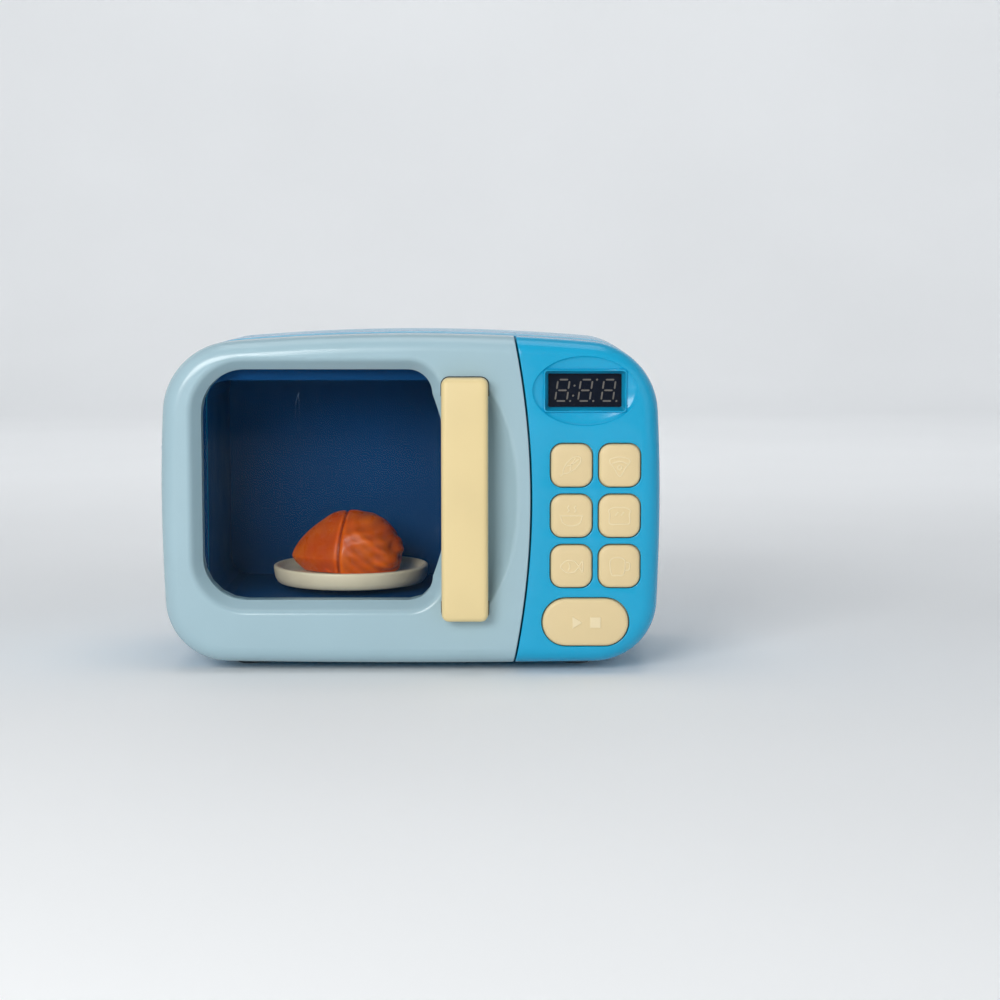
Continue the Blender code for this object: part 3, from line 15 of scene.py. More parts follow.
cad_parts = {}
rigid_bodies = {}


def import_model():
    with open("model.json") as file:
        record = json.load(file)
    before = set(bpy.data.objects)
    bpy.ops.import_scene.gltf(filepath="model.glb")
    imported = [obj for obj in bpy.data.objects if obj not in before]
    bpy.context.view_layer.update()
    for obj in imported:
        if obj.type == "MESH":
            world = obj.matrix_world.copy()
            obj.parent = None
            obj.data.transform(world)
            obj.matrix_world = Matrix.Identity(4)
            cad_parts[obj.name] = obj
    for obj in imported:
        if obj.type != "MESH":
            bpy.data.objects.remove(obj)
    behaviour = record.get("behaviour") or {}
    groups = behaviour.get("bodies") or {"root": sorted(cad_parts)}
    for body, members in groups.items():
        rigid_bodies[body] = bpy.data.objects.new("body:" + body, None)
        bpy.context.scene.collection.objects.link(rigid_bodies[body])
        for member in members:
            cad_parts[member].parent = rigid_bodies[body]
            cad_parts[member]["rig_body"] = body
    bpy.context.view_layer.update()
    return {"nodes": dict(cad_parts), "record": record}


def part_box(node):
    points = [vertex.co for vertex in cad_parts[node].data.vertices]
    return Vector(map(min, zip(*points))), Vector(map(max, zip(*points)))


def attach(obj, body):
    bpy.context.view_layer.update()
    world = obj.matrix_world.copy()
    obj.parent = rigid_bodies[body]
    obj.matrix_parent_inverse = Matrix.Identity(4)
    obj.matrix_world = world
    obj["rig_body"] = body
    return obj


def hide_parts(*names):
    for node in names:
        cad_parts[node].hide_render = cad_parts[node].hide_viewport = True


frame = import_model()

mm = 0.001

# Sizes of the shell, repeated from the CAD
wall = 2.2 * mm
rim_radius = 8 * mm
rim_reach = 7.2 * mm
back_rim_radius = 9 * mm
back_rim_reach = 8.2 * mm
crown_top = 3 * mm
crown_bottom = 0.6 * mm
crown_side = 1 * mm
top_corner_radius = 30 * mm
bottom_corner_radius = 26 * mm
door_edge_radius = 335 * mm
panel_gap = 0.7 * mm
seat_gap = 0.5 * mm
edge_round = 0.45 * mm
lip_round = 0.3 * mm
joint_round = 0.25 * mm
cavity_radius = 8 * mm
liner_lip = 4.6 * mm

# Door window and its bevelled rim
window_left_radius = 18 * mm
window_right_radius = 10 * mm
window_bulge = 7 * mm
funnel_width = 4.3 * mm
funnel_depth = 6 * mm
funnel_round = 1.3 * mm
collar_reach = 6.4 * mm
pane_lap = 2.2 * mm
pane_gap = 0.3 * mm
door_ceiling = 6.8 * mm
ray_start, ray_gap = 0.0011, 0.0025  # radians

# Finger dish behind the handle, with a raised pad under each foot
dish_half_width = 22.2 * mm
dish_half_height = 49.7 * mm
dish_depth = 5.5 * mm
dish_lift = 0.6 * mm
dish_slope = 5.5 * mm
dish_reach = 16 * mm
dish_round = 1.1 * mm
dish_to_funnel = 1 * mm
dish_fade = 5 * mm
pad_inset = 1.2 * mm
pad_slope = 0.7 * mm

# Handle
handle_foot_length = 9 * mm
handle_arch = 4 * mm
handle_round = 2.3 * mm
handle_corner = 3.1 * mm
handle_crown = 0.12 * mm
handle_back_round = 0.9 * mm
handle_back_gap = 0.3 * mm
# Black strips round the feet: painted shade for the gaps where the feet enter the door
shadow_line_proud = 0.4 * mm
shadow_line_above_foot = 0.6 * mm

# Hinge
hinge_inset = 4.5 * mm
hinge_from_back = 6 * mm
lug_radius = 4.3 * mm
lug_height = 45.2 * mm
lug_arm_from_axis = 2.6 * mm
lug_arm_width = 3.2 * mm
lug_round = 0.4 * mm
eye_room = lug_radius + 0.5 * mm
notch_height = 46 * mm
notch_reach = 6.5 * mm
hinge_back_round = 4 * mm
hinge_rib = 8 * mm
hinge_straight = 30 * mm
hinge_fade = 8 * mm

# Display
display_dish_half_width = 21.7 * mm
display_dish_half_height = 14.35 * mm
display_dish_depth = 3 * mm
display_dish_round = 1.1 * mm
display_frame = 2 * mm
display_frame_lift = 1 * mm
digit_size = (4.8 * mm, 8.75 * mm)
digit_slant = math.tan(math.radians(8))
digit_half_stroke = 0.33 * mm
digit_starts = (2.8, 12.2, 21.7)  # mm from the display's left
digit_dots = [(9.9, 0.25), (9.9, 0.72), (9.0, 0.0), (18.5, 0.0), (28.0, 0.0), (18.8, 1.0)]

# Buttons
button_radius = 4.7 * mm
button_clearance = 0.45 * mm
button_well = 3.5 * mm
button_flange = 0.8 * mm
button_lip = 1.2 * mm
button_round = 1.5 * mm
button_crown = 0.25 * mm
stroke_width = 0.62 * mm
stroke_height = 0.36 * mm

# Catch, and openings of the back
catch_width = 4.3 * mm
catch_clearance = 0.8 * mm
catch_shift = 0.35 * mm
grille_pitch = 4.4 * mm
grille_hole = 1.2 * mm
cover_gap = 0.3 * mm
cover_radius = 1.8 * mm
slot_size = (10.6 * mm, 4.2 * mm)
slot_shift = 2 * mm
screw_well = 3.1 * mm
screw_well_depth = 31 * mm

# Mesh resolution
side_steps, corner_steps, top_steps = 10, 22, 26
weld_reach = 0.002 * mm


def middle_of(node):
    """The middle of a node's box, seen from the front as (x, z)."""
    low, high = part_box(node)
    return (low.x + high.x) / 2, (low.z + high.z) / 2


front_low, front_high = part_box("front_housing")
rear_low, rear_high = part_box("rear_housing")
door_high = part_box("door_frame")[1]
handle_low, handle_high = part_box("door_handle")
pane_low, pane_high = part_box("door_window")
liner_low, liner_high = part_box("cavity_liner")
plate_low, plate_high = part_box("turntable_plate")
display_low, display_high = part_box("led_display")

half_width = front_high.x
half_height = (front_high.z - front_low.z) / 2
mid_z = (front_high.z + front_low.z) / 2
face_y = front_low.y
split_y = front_high.y
door_back_y = door_high.y
edge_centre_x = door_high.x - door_edge_radius
seat_y = door_back_y + seat_gap
hinge_x = -half_width + hinge_inset
hinge_y = door_back_y - hinge_from_back
handle_x, handle_z = middle_of("door_handle")
handle_width = handle_high.x - handle_low.x
handle_length = handle_high.z - handle_low.z
window_left = pane_low.x + pane_lap
window_right = pane_high.x - pane_lap - window_bulge
window_low, window_high = pane_low.z + pane_lap, pane_high.z - pane_lap
pane_front_y = pane_low.y
dish_z = handle_z + dish_lift
display_x, display_z = middle_of("led_display")
display_width = display_high.x - display_low.x - display_frame / 2
display_height = display_high.z - display_low.z - display_frame / 2
display_y = display_low.y
cavity_low = Vector((liner_low.x + liner_lip, liner_low.z + liner_lip))
cavity_high = Vector((liner_high.x - liner_lip, liner_high.z - liner_lip))
cavity_size = [high - low for low, high in zip(cavity_low, cavity_high)]
cavity_centre = [(low + high) / 2 for low, high in zip(cavity_low, cavity_high)]


# Outlines, seen from the front as arrays of (x, z)


def arc(centre, radius, start, end, steps):
    angles = np.linspace(start, end, steps + 1)
    return np.stack([centre[0] + radius * np.cos(angles), centre[1] + radius * np.sin(angles)], axis=1)


def rounded_rect(width, height, radius, centre=(0, 0), steps=10):
    reach_x, reach_z = width / 2 - radius, height / 2 - radius
    parts = []
    for quarter, (side, up) in enumerate(((1, 1), (-1, 1), (-1, -1), (1, -1))):
        middle = (centre[0] + side * reach_x, centre[1] + up * reach_z)
        start = quarter * math.pi / 2
        parts.append(arc(middle, radius, start, start + math.pi / 2, steps))
    return np.concatenate(parts)


def growing_rect(size, radius, centre, steps=10):
    """A rounded rectangle as a function of how far it is grown."""
    return lambda grow: rounded_rect(size[0] + 2 * grow, size[1] + 2 * grow, radius + grow, centre, steps)


def growing_circle(radius, centre, steps):
    return lambda grow: arc(centre, radius + grow, 0, math.tau, steps)[:-1]


def turn_of(points, centre):
    return np.arctan2(points[:, 1] - centre[1], points[:, 0] - centre[0]) % math.tau


def reach_at(turns, line, centre):
    """How far from a centre a line lies, at each turn."""
    line_turns = turn_of(line, centre)
    order = np.argsort(line_turns)
    reach = np.hypot(line[:, 0] - centre[0], line[:, 1] - centre[1])
    return np.interp(turns, line_turns[order], reach[order], period=math.tau)


def quarter_turn(steps, first=0):
    """The sines and cosines of even steps through a quarter turn."""
    for step in range(first, steps + 1):
        turn = math.pi / 2 * step / steps
        yield math.sin(turn), math.cos(turn)


def quadrant(height, radius, end_crown, inset):
    """A quarter of the body's outline, from its widest point to its middle, drawn in by inset."""
    core_x = half_width - crown_side - radius
    core_z = height - end_crown - radius
    side_radius = (core_z**2 + crown_side**2) / (2 * crown_side)
    end_radius = (core_x**2 + end_crown**2) / (2 * end_crown)
    side_angle = math.asin(core_z / side_radius)
    end_angle = math.pi / 2 - math.asin(core_x / end_radius)
    side_centre = (core_x + crown_side - side_radius, 0)
    end_centre = (0, core_z + end_crown - end_radius)
    side = arc(side_centre, side_radius + radius - inset, 0, side_angle, side_steps)[:-1]
    corner = arc((core_x, core_z), radius - inset, side_angle, end_angle, corner_steps)
    end = arc(end_centre, end_radius + radius - inset, end_angle, math.pi / 2, top_steps)[1:]
    return np.concatenate([side, corner, end])


def body_outline(inset=0.0):
    """The body seen from the front, once round from its right middle."""
    upper = quadrant(half_height, top_corner_radius, crown_top, inset)
    lower = quadrant(half_height, bottom_corner_radius, crown_bottom, inset)
    mirror = np.array([-1, 1])
    points = np.concatenate(
        [upper, upper[-2::-1] * mirror, lower[1:] * -1, (lower[-2:0:-1] * mirror) * -1]
    )
    return points + np.array([0, mid_z])


def window_outline():
    """The door's window: its right side bulges out behind the handle."""
    near, quarter = window_right_radius, math.pi / 2
    low, high = window_low + near, window_high - near
    half_chord = (high - low) / 2
    far = (half_chord**2 + window_bulge**2) / (2 * window_bulge)
    bulge_x = window_right + window_bulge - far
    corner_x = window_right - near
    apart = math.hypot(corner_x - bulge_x, half_chord)
    slope = math.atan2(half_chord, corner_x - bulge_x)
    corner_turn = math.acos(min(1, (near**2 + apart**2 - far**2) / (2 * near * apart)))
    bulge_turn = math.acos((far**2 + apart**2 - near**2) / (2 * far * apart))
    corner_end, bulge_end = slope - math.pi + corner_turn, slope - bulge_turn
    left = window_left_radius
    left_x, left_low, left_high = window_left + left, window_low + left, window_high - left
    parts = [
        arc((bulge_x, (high + low) / 2), far, -bulge_end, bulge_end, 40)[1:-1],
        arc((corner_x, high), near, corner_end, quarter, 14),
        arc((left_x, left_high), left, quarter, 2 * quarter, 20),
        arc((left_x, left_low), left, 2 * quarter, 3 * quarter, 20),
        arc((corner_x, low), near, -quarter, -corner_end, 14),
    ]
    return np.concatenate(parts)


def edge_at(z, offset):
    """X of the arc on which door and panel meet, moved right by offset."""
    radius = door_edge_radius + offset
    return edge_centre_x + np.sqrt(radius**2 - (z - mid_z) ** 2)


def outline_distance(points, outline):
    """Distance of each point to a closed outline."""
    start, end = outline, np.roll(outline, -1, axis=0)
    along = end - start
    length = np.maximum((along**2).sum(axis=1), 1e-18)
    offset = points[:, None, :] - start[None]
    share = np.clip((offset * along[None]).sum(axis=2) / length[None], 0, 1)
    nearest = start[None] + share[..., None] * along[None]
    return np.sqrt(((points[:, None, :] - nearest) ** 2).sum(axis=2)).min(axis=1)


def resample(points, count, closed=False):
    """The same line with evenly spaced points."""
    if closed:
        points = np.concatenate([points, points[:1]])
    steps = np.sqrt((np.diff(points, axis=0) ** 2).sum(axis=1))
    reach = np.concatenate([[0], np.cumsum(steps)])
    places = np.linspace(0, reach[-1], count + 1 if closed else count)
    if closed:
        places = places[:-1]
    return np.stack([np.interp(places, reach, points[:, axis]) for axis in (0, 1)], axis=1)


def inside_loop(points, loop):
    """Which points lie inside a closed line."""
    start, end = np.array(loop), np.roll(loop, -1, axis=0)
    x, z = points[:, 0][:, None], points[:, 1][:, None]
    above = (start[None, :, 1] > z) != (end[None, :, 1] > z)
    rise = end[:, 1] - start[:, 1]
    rise = np.where(np.abs(rise) < 1e-15, 1e-15, rise)
    cross = start[None, :, 0] + (z - start[None, :, 1]) * ((end[:, 0] - start[:, 0]) / rise)[None]
    return (above & (x < cross)).sum(axis=1) % 2 == 1


def rim_drop(distance, reach=rim_reach, depth=rim_radius):
    """How far the round rim has fallen back from the face, at a distance in from the outline."""
    inner = np.clip(1 - distance / reach, 0, 1)
    return depth * (1 - np.sqrt(1 - inner**2))


def smooth(value):
    value = np.clip(value, 0, 1)
    return value * value * (3 - 2 * value)


# Meshes


def dress(mesh, material, smooth_angle=35):
    """Gives a mesh its one material, smooth faces and sharp edges."""
    mesh.materials.clear()
    mesh.materials.append(material)
    mesh.shade_smooth()
    mesh.set_sharp_from_angle(angle=math.radians(smooth_angle))


def add_object(name, data):
    obj = bpy.data.objects.new(name, data)
    bpy.context.scene.collection.objects.link(obj)
    return obj


def build(name, points, faces, material, smooth_angle):
    """An object of points and faces, which are welded where they meet and turned outward."""
    mesh = bpy.data.meshes.new(name)
    mesh.from_pydata(points, [], [face for face in faces if len(set(face)) > 2])
    work = bmesh.new()
    work.from_mesh(mesh)
    bmesh.ops.remove_doubles(work, verts=work.verts, dist=weld_reach)
    bmesh.ops.dissolve_degenerate(work, edges=work.edges, dist=weld_reach / 2)
    bmesh.ops.recalc_face_normals(work, faces=work.faces)
    work.to_mesh(mesh)
    work.free()
    dress(mesh, material, smooth_angle)
    return add_object(name, mesh)


def ring_faces(rings, steps):
    """Quads between closed rings of points."""
    faces = []
    for first in range(0, rings * steps, steps):
        for step in range(steps):
            near, after = first + step, first + (step + 1) % steps
            faces.append((near, after, after + steps, near + steps))
    return faces


def turned_mesh(name, profile, steps, material, centre):
    """A turned piece about a vertical axis. The profile is (radius, z)."""
    points = []
    for radius, z in profile:
        for step in range(steps):
            angle = math.tau * step / steps
            points.append((centre[0] + radius * math.cos(angle), centre[1] + radius * math.sin(angle), z))
    return build(name, points, ring_faces(len(profile) - 1, steps), material, 40)


class Patchwork:
    """Collects strips and flat areas into one mesh, and welds what meets."""

    def __init__(self):
        self.points, self.faces = [], []

    def add_loop(self, line, y):
        """Adds a line of (x, z) at a depth y, which is one number or one for each point."""
        first = len(self.points)
        depths = np.broadcast_to(y, len(line))
        self.points += [(float(x), float(depth), float(z)) for (x, z), depth in zip(line, depths)]
        return list(range(first, len(self.points)))

    def bridge(self, near, far, closed=True):
        count = len(near)
        for index in range(count if closed else count - 1):
            after = (index + 1) % count
            self.faces.append((near[index], near[after], far[after], far[index]))

    def strips(self, lines, closed=True):
        """Joins each line to the next with quads. A line is (array of (x, z), y)."""
        loops = [self.add_loop(line, y) for line, y in lines]
        for near, far in zip(loops, loops[1:]):
            self.bridge(near, far, closed)
        return loops

    def flat(self, outlines, y):
        """Fills the first outline, without the others, at one depth."""
        loops = [[Vector((float(x), float(z), 0)) for x, z in outline] for outline in outlines]
        first = len(self.points)
        for outline in outlines:
            self.add_loop(outline, y)
        for triangle in tessellate_polygon(loops):
            self.faces.append(tuple(first + corner for corner in triangle))

    def relief(self, boundary, holes, lines, depth_of):
        """Fills the boundary without the holes at a varying depth, with vertices on the lines too."""
        scale, epsilon = 1 / mm, 1e-4
        flat, edges = [], []
        for loop, closed in [(boundary, True)] + [(hole, True) for hole in holes] + lines:
            first, count = len(flat), len(loop)
            flat += [Vector((float(x) * scale, float(z) * scale)) for x, z in loop]
            edges += [(first + i, first + (i + 1) % count) for i in range(count if closed else count - 1)]
        points, _, triangles, *_ = delaunay_2d_cdt(flat, edges, [], 0, epsilon)
        points = np.array([(point.x, point.y) for point in points]) / scale
        middles = points[np.array([list(triangle) for triangle in triangles])].mean(axis=1)
        keep = inside_loop(middles, boundary)
        for hole in holes:
            keep &= ~inside_loop(middles, hole)
        first = len(self.points)
        self.add_loop(points, depth_of(points))
        for triangle, kept in zip(triangles, keep):
            if kept:
                self.faces.append(tuple(first + corner for corner in triangle))

    def make(self, name, material, smooth_angle=35):
        return build(name, self.points, self.faces, material, smooth_angle)


def join(target, others):
    """Adds the meshes of other objects to one object."""
    materials = target.data.materials
    work = bmesh.new()
    work.from_mesh(target.data)
    for other in others:
        known = len(work.faces)
        work.from_mesh(other.data)
        work.faces.ensure_lookup_table()
        material = other.data.materials[0]
        if materials.find(material.name) < 0:
            materials.append(material)
        for face in work.faces[known:]:
            face.material_index = materials.find(material.name)
    work.to_mesh(target.data)
    work.free()
    for other in others:
        bpy.data.objects.remove(other, do_unlink=True)
    return target


# Materials


class Look:
    """A node material in the making, with its textures in the object's own space."""

    def __init__(self, name):
        self.material = bpy.data.materials.new(name)
        self.material.use_nodes = True
        self.tree = self.material.node_tree
        self.shader = self.tree.nodes["Principled BSDF"]
        self.place = self.node("ShaderNodeTexCoord").outputs["Object"]

    def feed(self, node, inputs):
        """Gives a node's inputs their values, or links them to outputs."""
        for name, value in inputs.items():
            socket = node.inputs[name.replace("_", " ") if isinstance(name, str) else name]
            if isinstance(value, bpy.types.NodeSocket):
                self.tree.links.new(value, socket)
            else:
                socket.default_value = value
        return node

    def node(self, kind, **inputs):
        return self.feed(self.tree.nodes.new(kind), inputs)

    def set(self, **inputs):
        self.feed(self.shader, inputs)

    def noise(self, scale, detail, roughness=0.5, place=None):
        inputs = {"Scale": scale, "Detail": detail, "Roughness": roughness, "Vector": place or self.place}
        return self.node("ShaderNodeTexNoise", **inputs).outputs["Fac"]

    def ramp(self, factor, low, high, low_value=0, high_value=1):
        """Maps a factor from low..high to low_value..high_value."""
        ends = {"From_Min": low, "From_Max": high, "To_Min": low_value, "To_Max": high_value}
        return self.node("ShaderNodeMapRange", Value=factor, **ends).outputs["Result"]

    def mix(self, factor, first, second):
        """A mix of two colours, each a tuple or an output."""
        node = self.node("ShaderNodeMix")
        node.data_type = "RGBA"
        first, second = [(*value, 1) if isinstance(value, tuple) else value for value in (first, second)]
        return self.feed(node, {"Factor": factor, "A": first, "B": second}).outputs["Result"]

    def math(self, operation, *values):
        node = self.node("ShaderNodeMath")
        node.operation = operation
        node.use_clamp = operation in ("ADD", "MULTIPLY")
        return self.feed(node, dict(enumerate(values))).outputs[0]

    def bump(self, *layers):
        """Stacks bumps. A layer is (height output, strength, depth in metres)."""
        before = {}
        for height, strength, depth in layers:
            node = self.node("ShaderNodeBump", Height=height, Strength=strength, Distance=depth, **before)
            before = {"Normal": node.outputs["Normal"]}
        self.set(**before)


def shade(colour, factor):
    return tuple(min(1.0, channel * factor) for channel in colour)


def moulded(name, colour, roughness, grain=0.02, coat=0.0, unevenness=0.03, specular=0.5):
    """Moulded plastic: slow colour drift, fine specks, uneven gloss and a faint skin texture."""
    look = Look(name)
    drift = look.ramp(look.noise(22, 2), 0.3, 0.7)
    body = look.mix(drift, shade(colour, 1 - unevenness), shade(colour, 1 + unevenness))
    specks = look.ramp(look.noise(900, 2), 0.70, 0.80, 0, 0.1)
    smears = look.ramp(look.noise(60, 4, 0.6), 0.3, 0.7, roughness * 0.9, roughness * 1.12)
    look.set(Base_Color=look.mix(specks, body, shade(colour, 0.72)), Roughness=smears)
    look.set(Specular_IOR_Level=specular)
    if coat:
        look.set(Coat_Weight=coat, Coat_Roughness=0.12)
    look.bump((look.noise(90, 2), 0.01, 0.05 * mm), (look.noise(2600, 2), grain * 10, 0.02 * mm))
    return look.material


def metal(name, colour, roughness):
    """Plain metal with stains, fine scratches and a faint grain."""
    look = Look(name)
    stains = look.ramp(look.noise(400, 3), 0.35, 0.75)
    scratches = look.ramp(look.noise(1500, 3), 0.3, 0.7, roughness * 0.7, roughness * 1.4)
    look.set(Base_Color=look.mix(stains, shade(colour, 0.8), colour), Roughness=scratches, Metallic=1.0)
    look.bump((look.noise(3000, 2), 0.15, 0.02 * mm))
    return look.material


def clear_plastic(name):
    """The thin door pane: mostly see-through, with gloss at a slant, dust and hairline scratches."""
    look = Look(name)
    fresnel = look.node("ShaderNodeFresnel", IOR=1.45).outputs[0]
    gloss = look.ramp(fresnel, 0.03, 0.6, 0.035, 0.4)
    slanted = {"Rotation": (0, math.radians(35), 0), "Scale": (1, 1, 0.22), "Vector": look.place}
    streaks = look.noise(110, 0, place=look.node("ShaderNodeMapping", **slanted).outputs["Vector"])
    from_middle = look.math("ABSOLUTE", look.math("SUBTRACT", streaks, 0.5))
    worn = look.ramp(look.noise(34, 2), 0.48, 0.62)
    scratches = look.math("MULTIPLY", look.ramp(from_middle, 0, 0.0035, 1, 0), worn)
    dust = look.ramp(look.noise(1100, 1), 0.73, 0.80)
    marks = look.math("ADD", scratches, dust)
    look.set(Base_Color=look.mix(marks, (0.01, 0.04, 0.08), (0.45, 0.60, 0.74)))
    look.set(Alpha=look.math("ADD", look.math("MULTIPLY", marks, 0.06), gloss))
    look.set(Roughness=0.06, Specular_IOR_Level=1.0)
    return look.material


def roast_skin(name):
    """Sprayed play food: burnt orange, with painted shade in its creases and a wet gloss."""
    look = Look(name)
    patches = look.ramp(look.noise(70, 4, 0.6), 0.35, 0.68)
    base = look.mix(patches, (0.80, 0.082, 0.001), (1.0, 0.20, 0.005))
    # Painted shade: places that curve inward, found by pointiness, turn dark brown
    crease_shade_mask = look.ramp(look.node("ShaderNodeNewGeometry").outputs["Pointiness"], 0.46, 0.54)
    wetness = look.ramp(look.noise(240, 3), 0.3, 0.7, 0.18, 0.42)
    look.set(Base_Color=look.mix(crease_shade_mask, (0.30, 0.035, 0.003), base), Roughness=wetness)
    look.set(Specular_IOR_Level=0.22)
    look.bump((look.noise(260, 3), 0.5, 0.5 * mm), (look.noise(900, 3), 0.35, 0.12 * mm))
    return look.material


# The looks of the CAD's material slots
# deep_blue is painted shade: the oven's inside is the body's azure, drawn dark as it looks in shade
azure, deep_blue = (0.006, 0.35, 0.60), (0.002, 0.058, 0.19)
looks = {
    "azure_abs": moulded("azure_gloss", azure, 0.22, 0.001, coat=0.15, unevenness=0.025, specular=0.35),
    "pale_blue_abs": moulded("pale_blue_satin", (0.34, 0.56, 0.65), 0.42, 0.03),
    "cream_abs": moulded("cream_satin", (0.74, 0.59, 0.30), 0.42, 0.05, unevenness=0.04),
    # Painted shade: the liner drawn deep blue for the shade inside the oven
    "deep_blue_abs": moulded("liner_painted_shade", deep_blue, 0.5, 0.001, unevenness=0.08, specular=0.04),
    "grey_rubber": moulded("rubber_grey", (0.20, 0.21, 0.22), 0.75, 0.08),
    "black_abs": moulded("black_plastic", (0.012, 0.013, 0.016), 0.4, 0.05),
    "display_black": moulded("display_black", (0.003, 0.006, 0.014), 0.15, 0.003, specular=0.2),
    "white_nylon": moulded("white_nylon", (0.70, 0.68, 0.62), 0.45, 0.03),
    "board_green": moulded("board_green", (0.015, 0.14, 0.05), 0.35, 0.05),
    "cell_wrap": moulded("cell_wrap", (0.10, 0.11, 0.13), 0.28, coat=0.3),
    "red_lens": moulded("lens_red", (0.55, 0.05, 0.02), 0.14, 0.005, coat=0.5),
    "steel": metal("zinc", (0.62, 0.62, 0.60), 0.32),
    "brass": metal("brass", (0.70, 0.50, 0.20), 0.3),
    "roast_orange": roast_skin("roast_skin"),
    "clear_styrene": clear_plastic("pane_clear"),
}
pale_blue = moulded("pale_blue_gloss", (0.34, 0.49, 0.555), 0.24, coat=0.2, unevenness=0.02, specular=0.4)
key_cream = moulded("key_satin", (0.71, 0.56, 0.31), 0.46, 0.05)
# The raised figures are the keys' own cream, drawn lighter as a painted highlight on their strokes
key_mark_highlight = moulded("key_mark_highlight", (0.78, 0.65, 0.41), 0.5, 0.03, unevenness=0.02)
plate_cream = moulded("plate_satin", (0.84, 0.76, 0.55), 0.4, 0.03)
segment_grey = moulded("segment_grey", (0.12, 0.107, 0.092), 0.5, 0.01)


# Shells


def panel_line(inset, offset, count=150):
    """The body's outline drawn in by inset, from where it meets the door's arc below to above."""
    outline = body_outline(inset)
    line = np.roll(outline, len(outline) // 2, axis=0)
    inside = line[:, 0] > edge_at(line[:, 1], offset)
    first, last = np.argmax(inside), len(line) - 1 - np.argmax(inside[::-1])
    ends = []
    for outer, inner in ((first - 1, first), (last + 1, last)):
        near, far = line[inner], line[outer]
        for _ in range(30):
            middle = (near + far) / 2
            if middle[0] > edge_at(middle[1], offset):
                near = middle
            else:
                far = middle
        ends.append(near)
    return resample(np.concatenate([ends[:1], line[first : last + 1], ends[1:]]), count)


def round_hole(patch, outline_of, depth, surface, fall=lip_round, back=1):
    """A hole with a small round lip in a surface. Returns the line where the lip starts."""
    edge = outline_of(fall)
    top = surface(edge)
    lines = [(edge, top)]
    for sine, cosine in quarter_turn(3, 1):
        lines.append((outline_of(fall * (1 - sine)), top + back * fall * (1 - cosine)))
    patch.strips(lines + [(outline_of(0), top + back * depth)])
    return edge


def panel_depth(points):
    """Depth of the control panel's skin before its dish is sunk."""
    return face_y + rim_drop(outline_distance(points, body_outline()))


def seat_depth(points):
    return np.full(len(points), seat_y)


def key_shapes():
    """Name, middle, size, corner radius and front of each button. Its node's box holds its lip too."""
    for name in [f"button_{index}" for index in range(1, 7)] + ["start_button"]:
        low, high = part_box(name)
        size = (high.x - low.x - 2 * button_flange, high.z - low.z - 2 * button_flange)
        yield name, middle_of(name), size, size[1] / 2 if name == "start_button" else button_radius, low.y


def display_dish(patch):
    """The oval dish round the display, with its bevelled frame. Returns the line where it starts."""
    angles = np.linspace(0, math.tau, 192, endpoint=False)
    centre = np.array([display_x, display_z])
    radii = np.array([display_dish_half_width, display_dish_half_height])
    oval = np.stack([np.cos(angles), np.sin(angles)], axis=1) * radii
    turns = turn_of(oval, (0, 0))

    def frame_line(grow):
        width, height = display_width + 2 * grow, display_height + 2 * grow
        outline = resample(rounded_rect(width, height, 0.5 * mm + grow / 2, steps=8), 1600, closed=True)
        reach = reach_at(turns, outline, (0, 0))
        return np.stack([reach * np.cos(turns), reach * np.sin(turns)], axis=1)

    def sunk(points):
        share = ((points / radii) ** 2).sum(axis=1)
        bowl = display_dish_depth * np.sqrt(np.clip(1 - share, 0, 1))
        bowl *= smooth(bowl / display_dish_round + 0.1)
        return np.maximum(face_y + bowl, panel_depth(points + centre))

    lip = oval * 1.012
    outer = frame_line(display_frame)
    lines = [(lip + centre, panel_depth(lip + centre))]
    for share in (1.0, 0.985, 0.96, 0.92, 0.87, 0.80, 0.70, 0.58, 0.45, 0.32, 0.22, 0.14, 0.08, 0.03):
        points = outer + (oval - outer) * share
        lines.append((points + centre, sunk(points)))
    base = sunk(outer)
    for grow, lift in ((1.0, 0.45), (0.94, 0.85), (0.86, 1.0), (0.76, 1.0)):
        lines.append((frame_line(display_frame * grow) + centre, base - display_frame_lift * lift))
    top = base - display_frame_lift * 0.9
    for share in (1, 0.66, 0.33, 0):
        depth = display_y + (top - display_y) * share**1.1
        lines.append((frame_line(display_frame * 0.7 * share) + centre, depth))
    lines.append((frame_line(0) + centre, display_y + 0.5 * mm))
    patch.strips(lines)
    return lip + centre


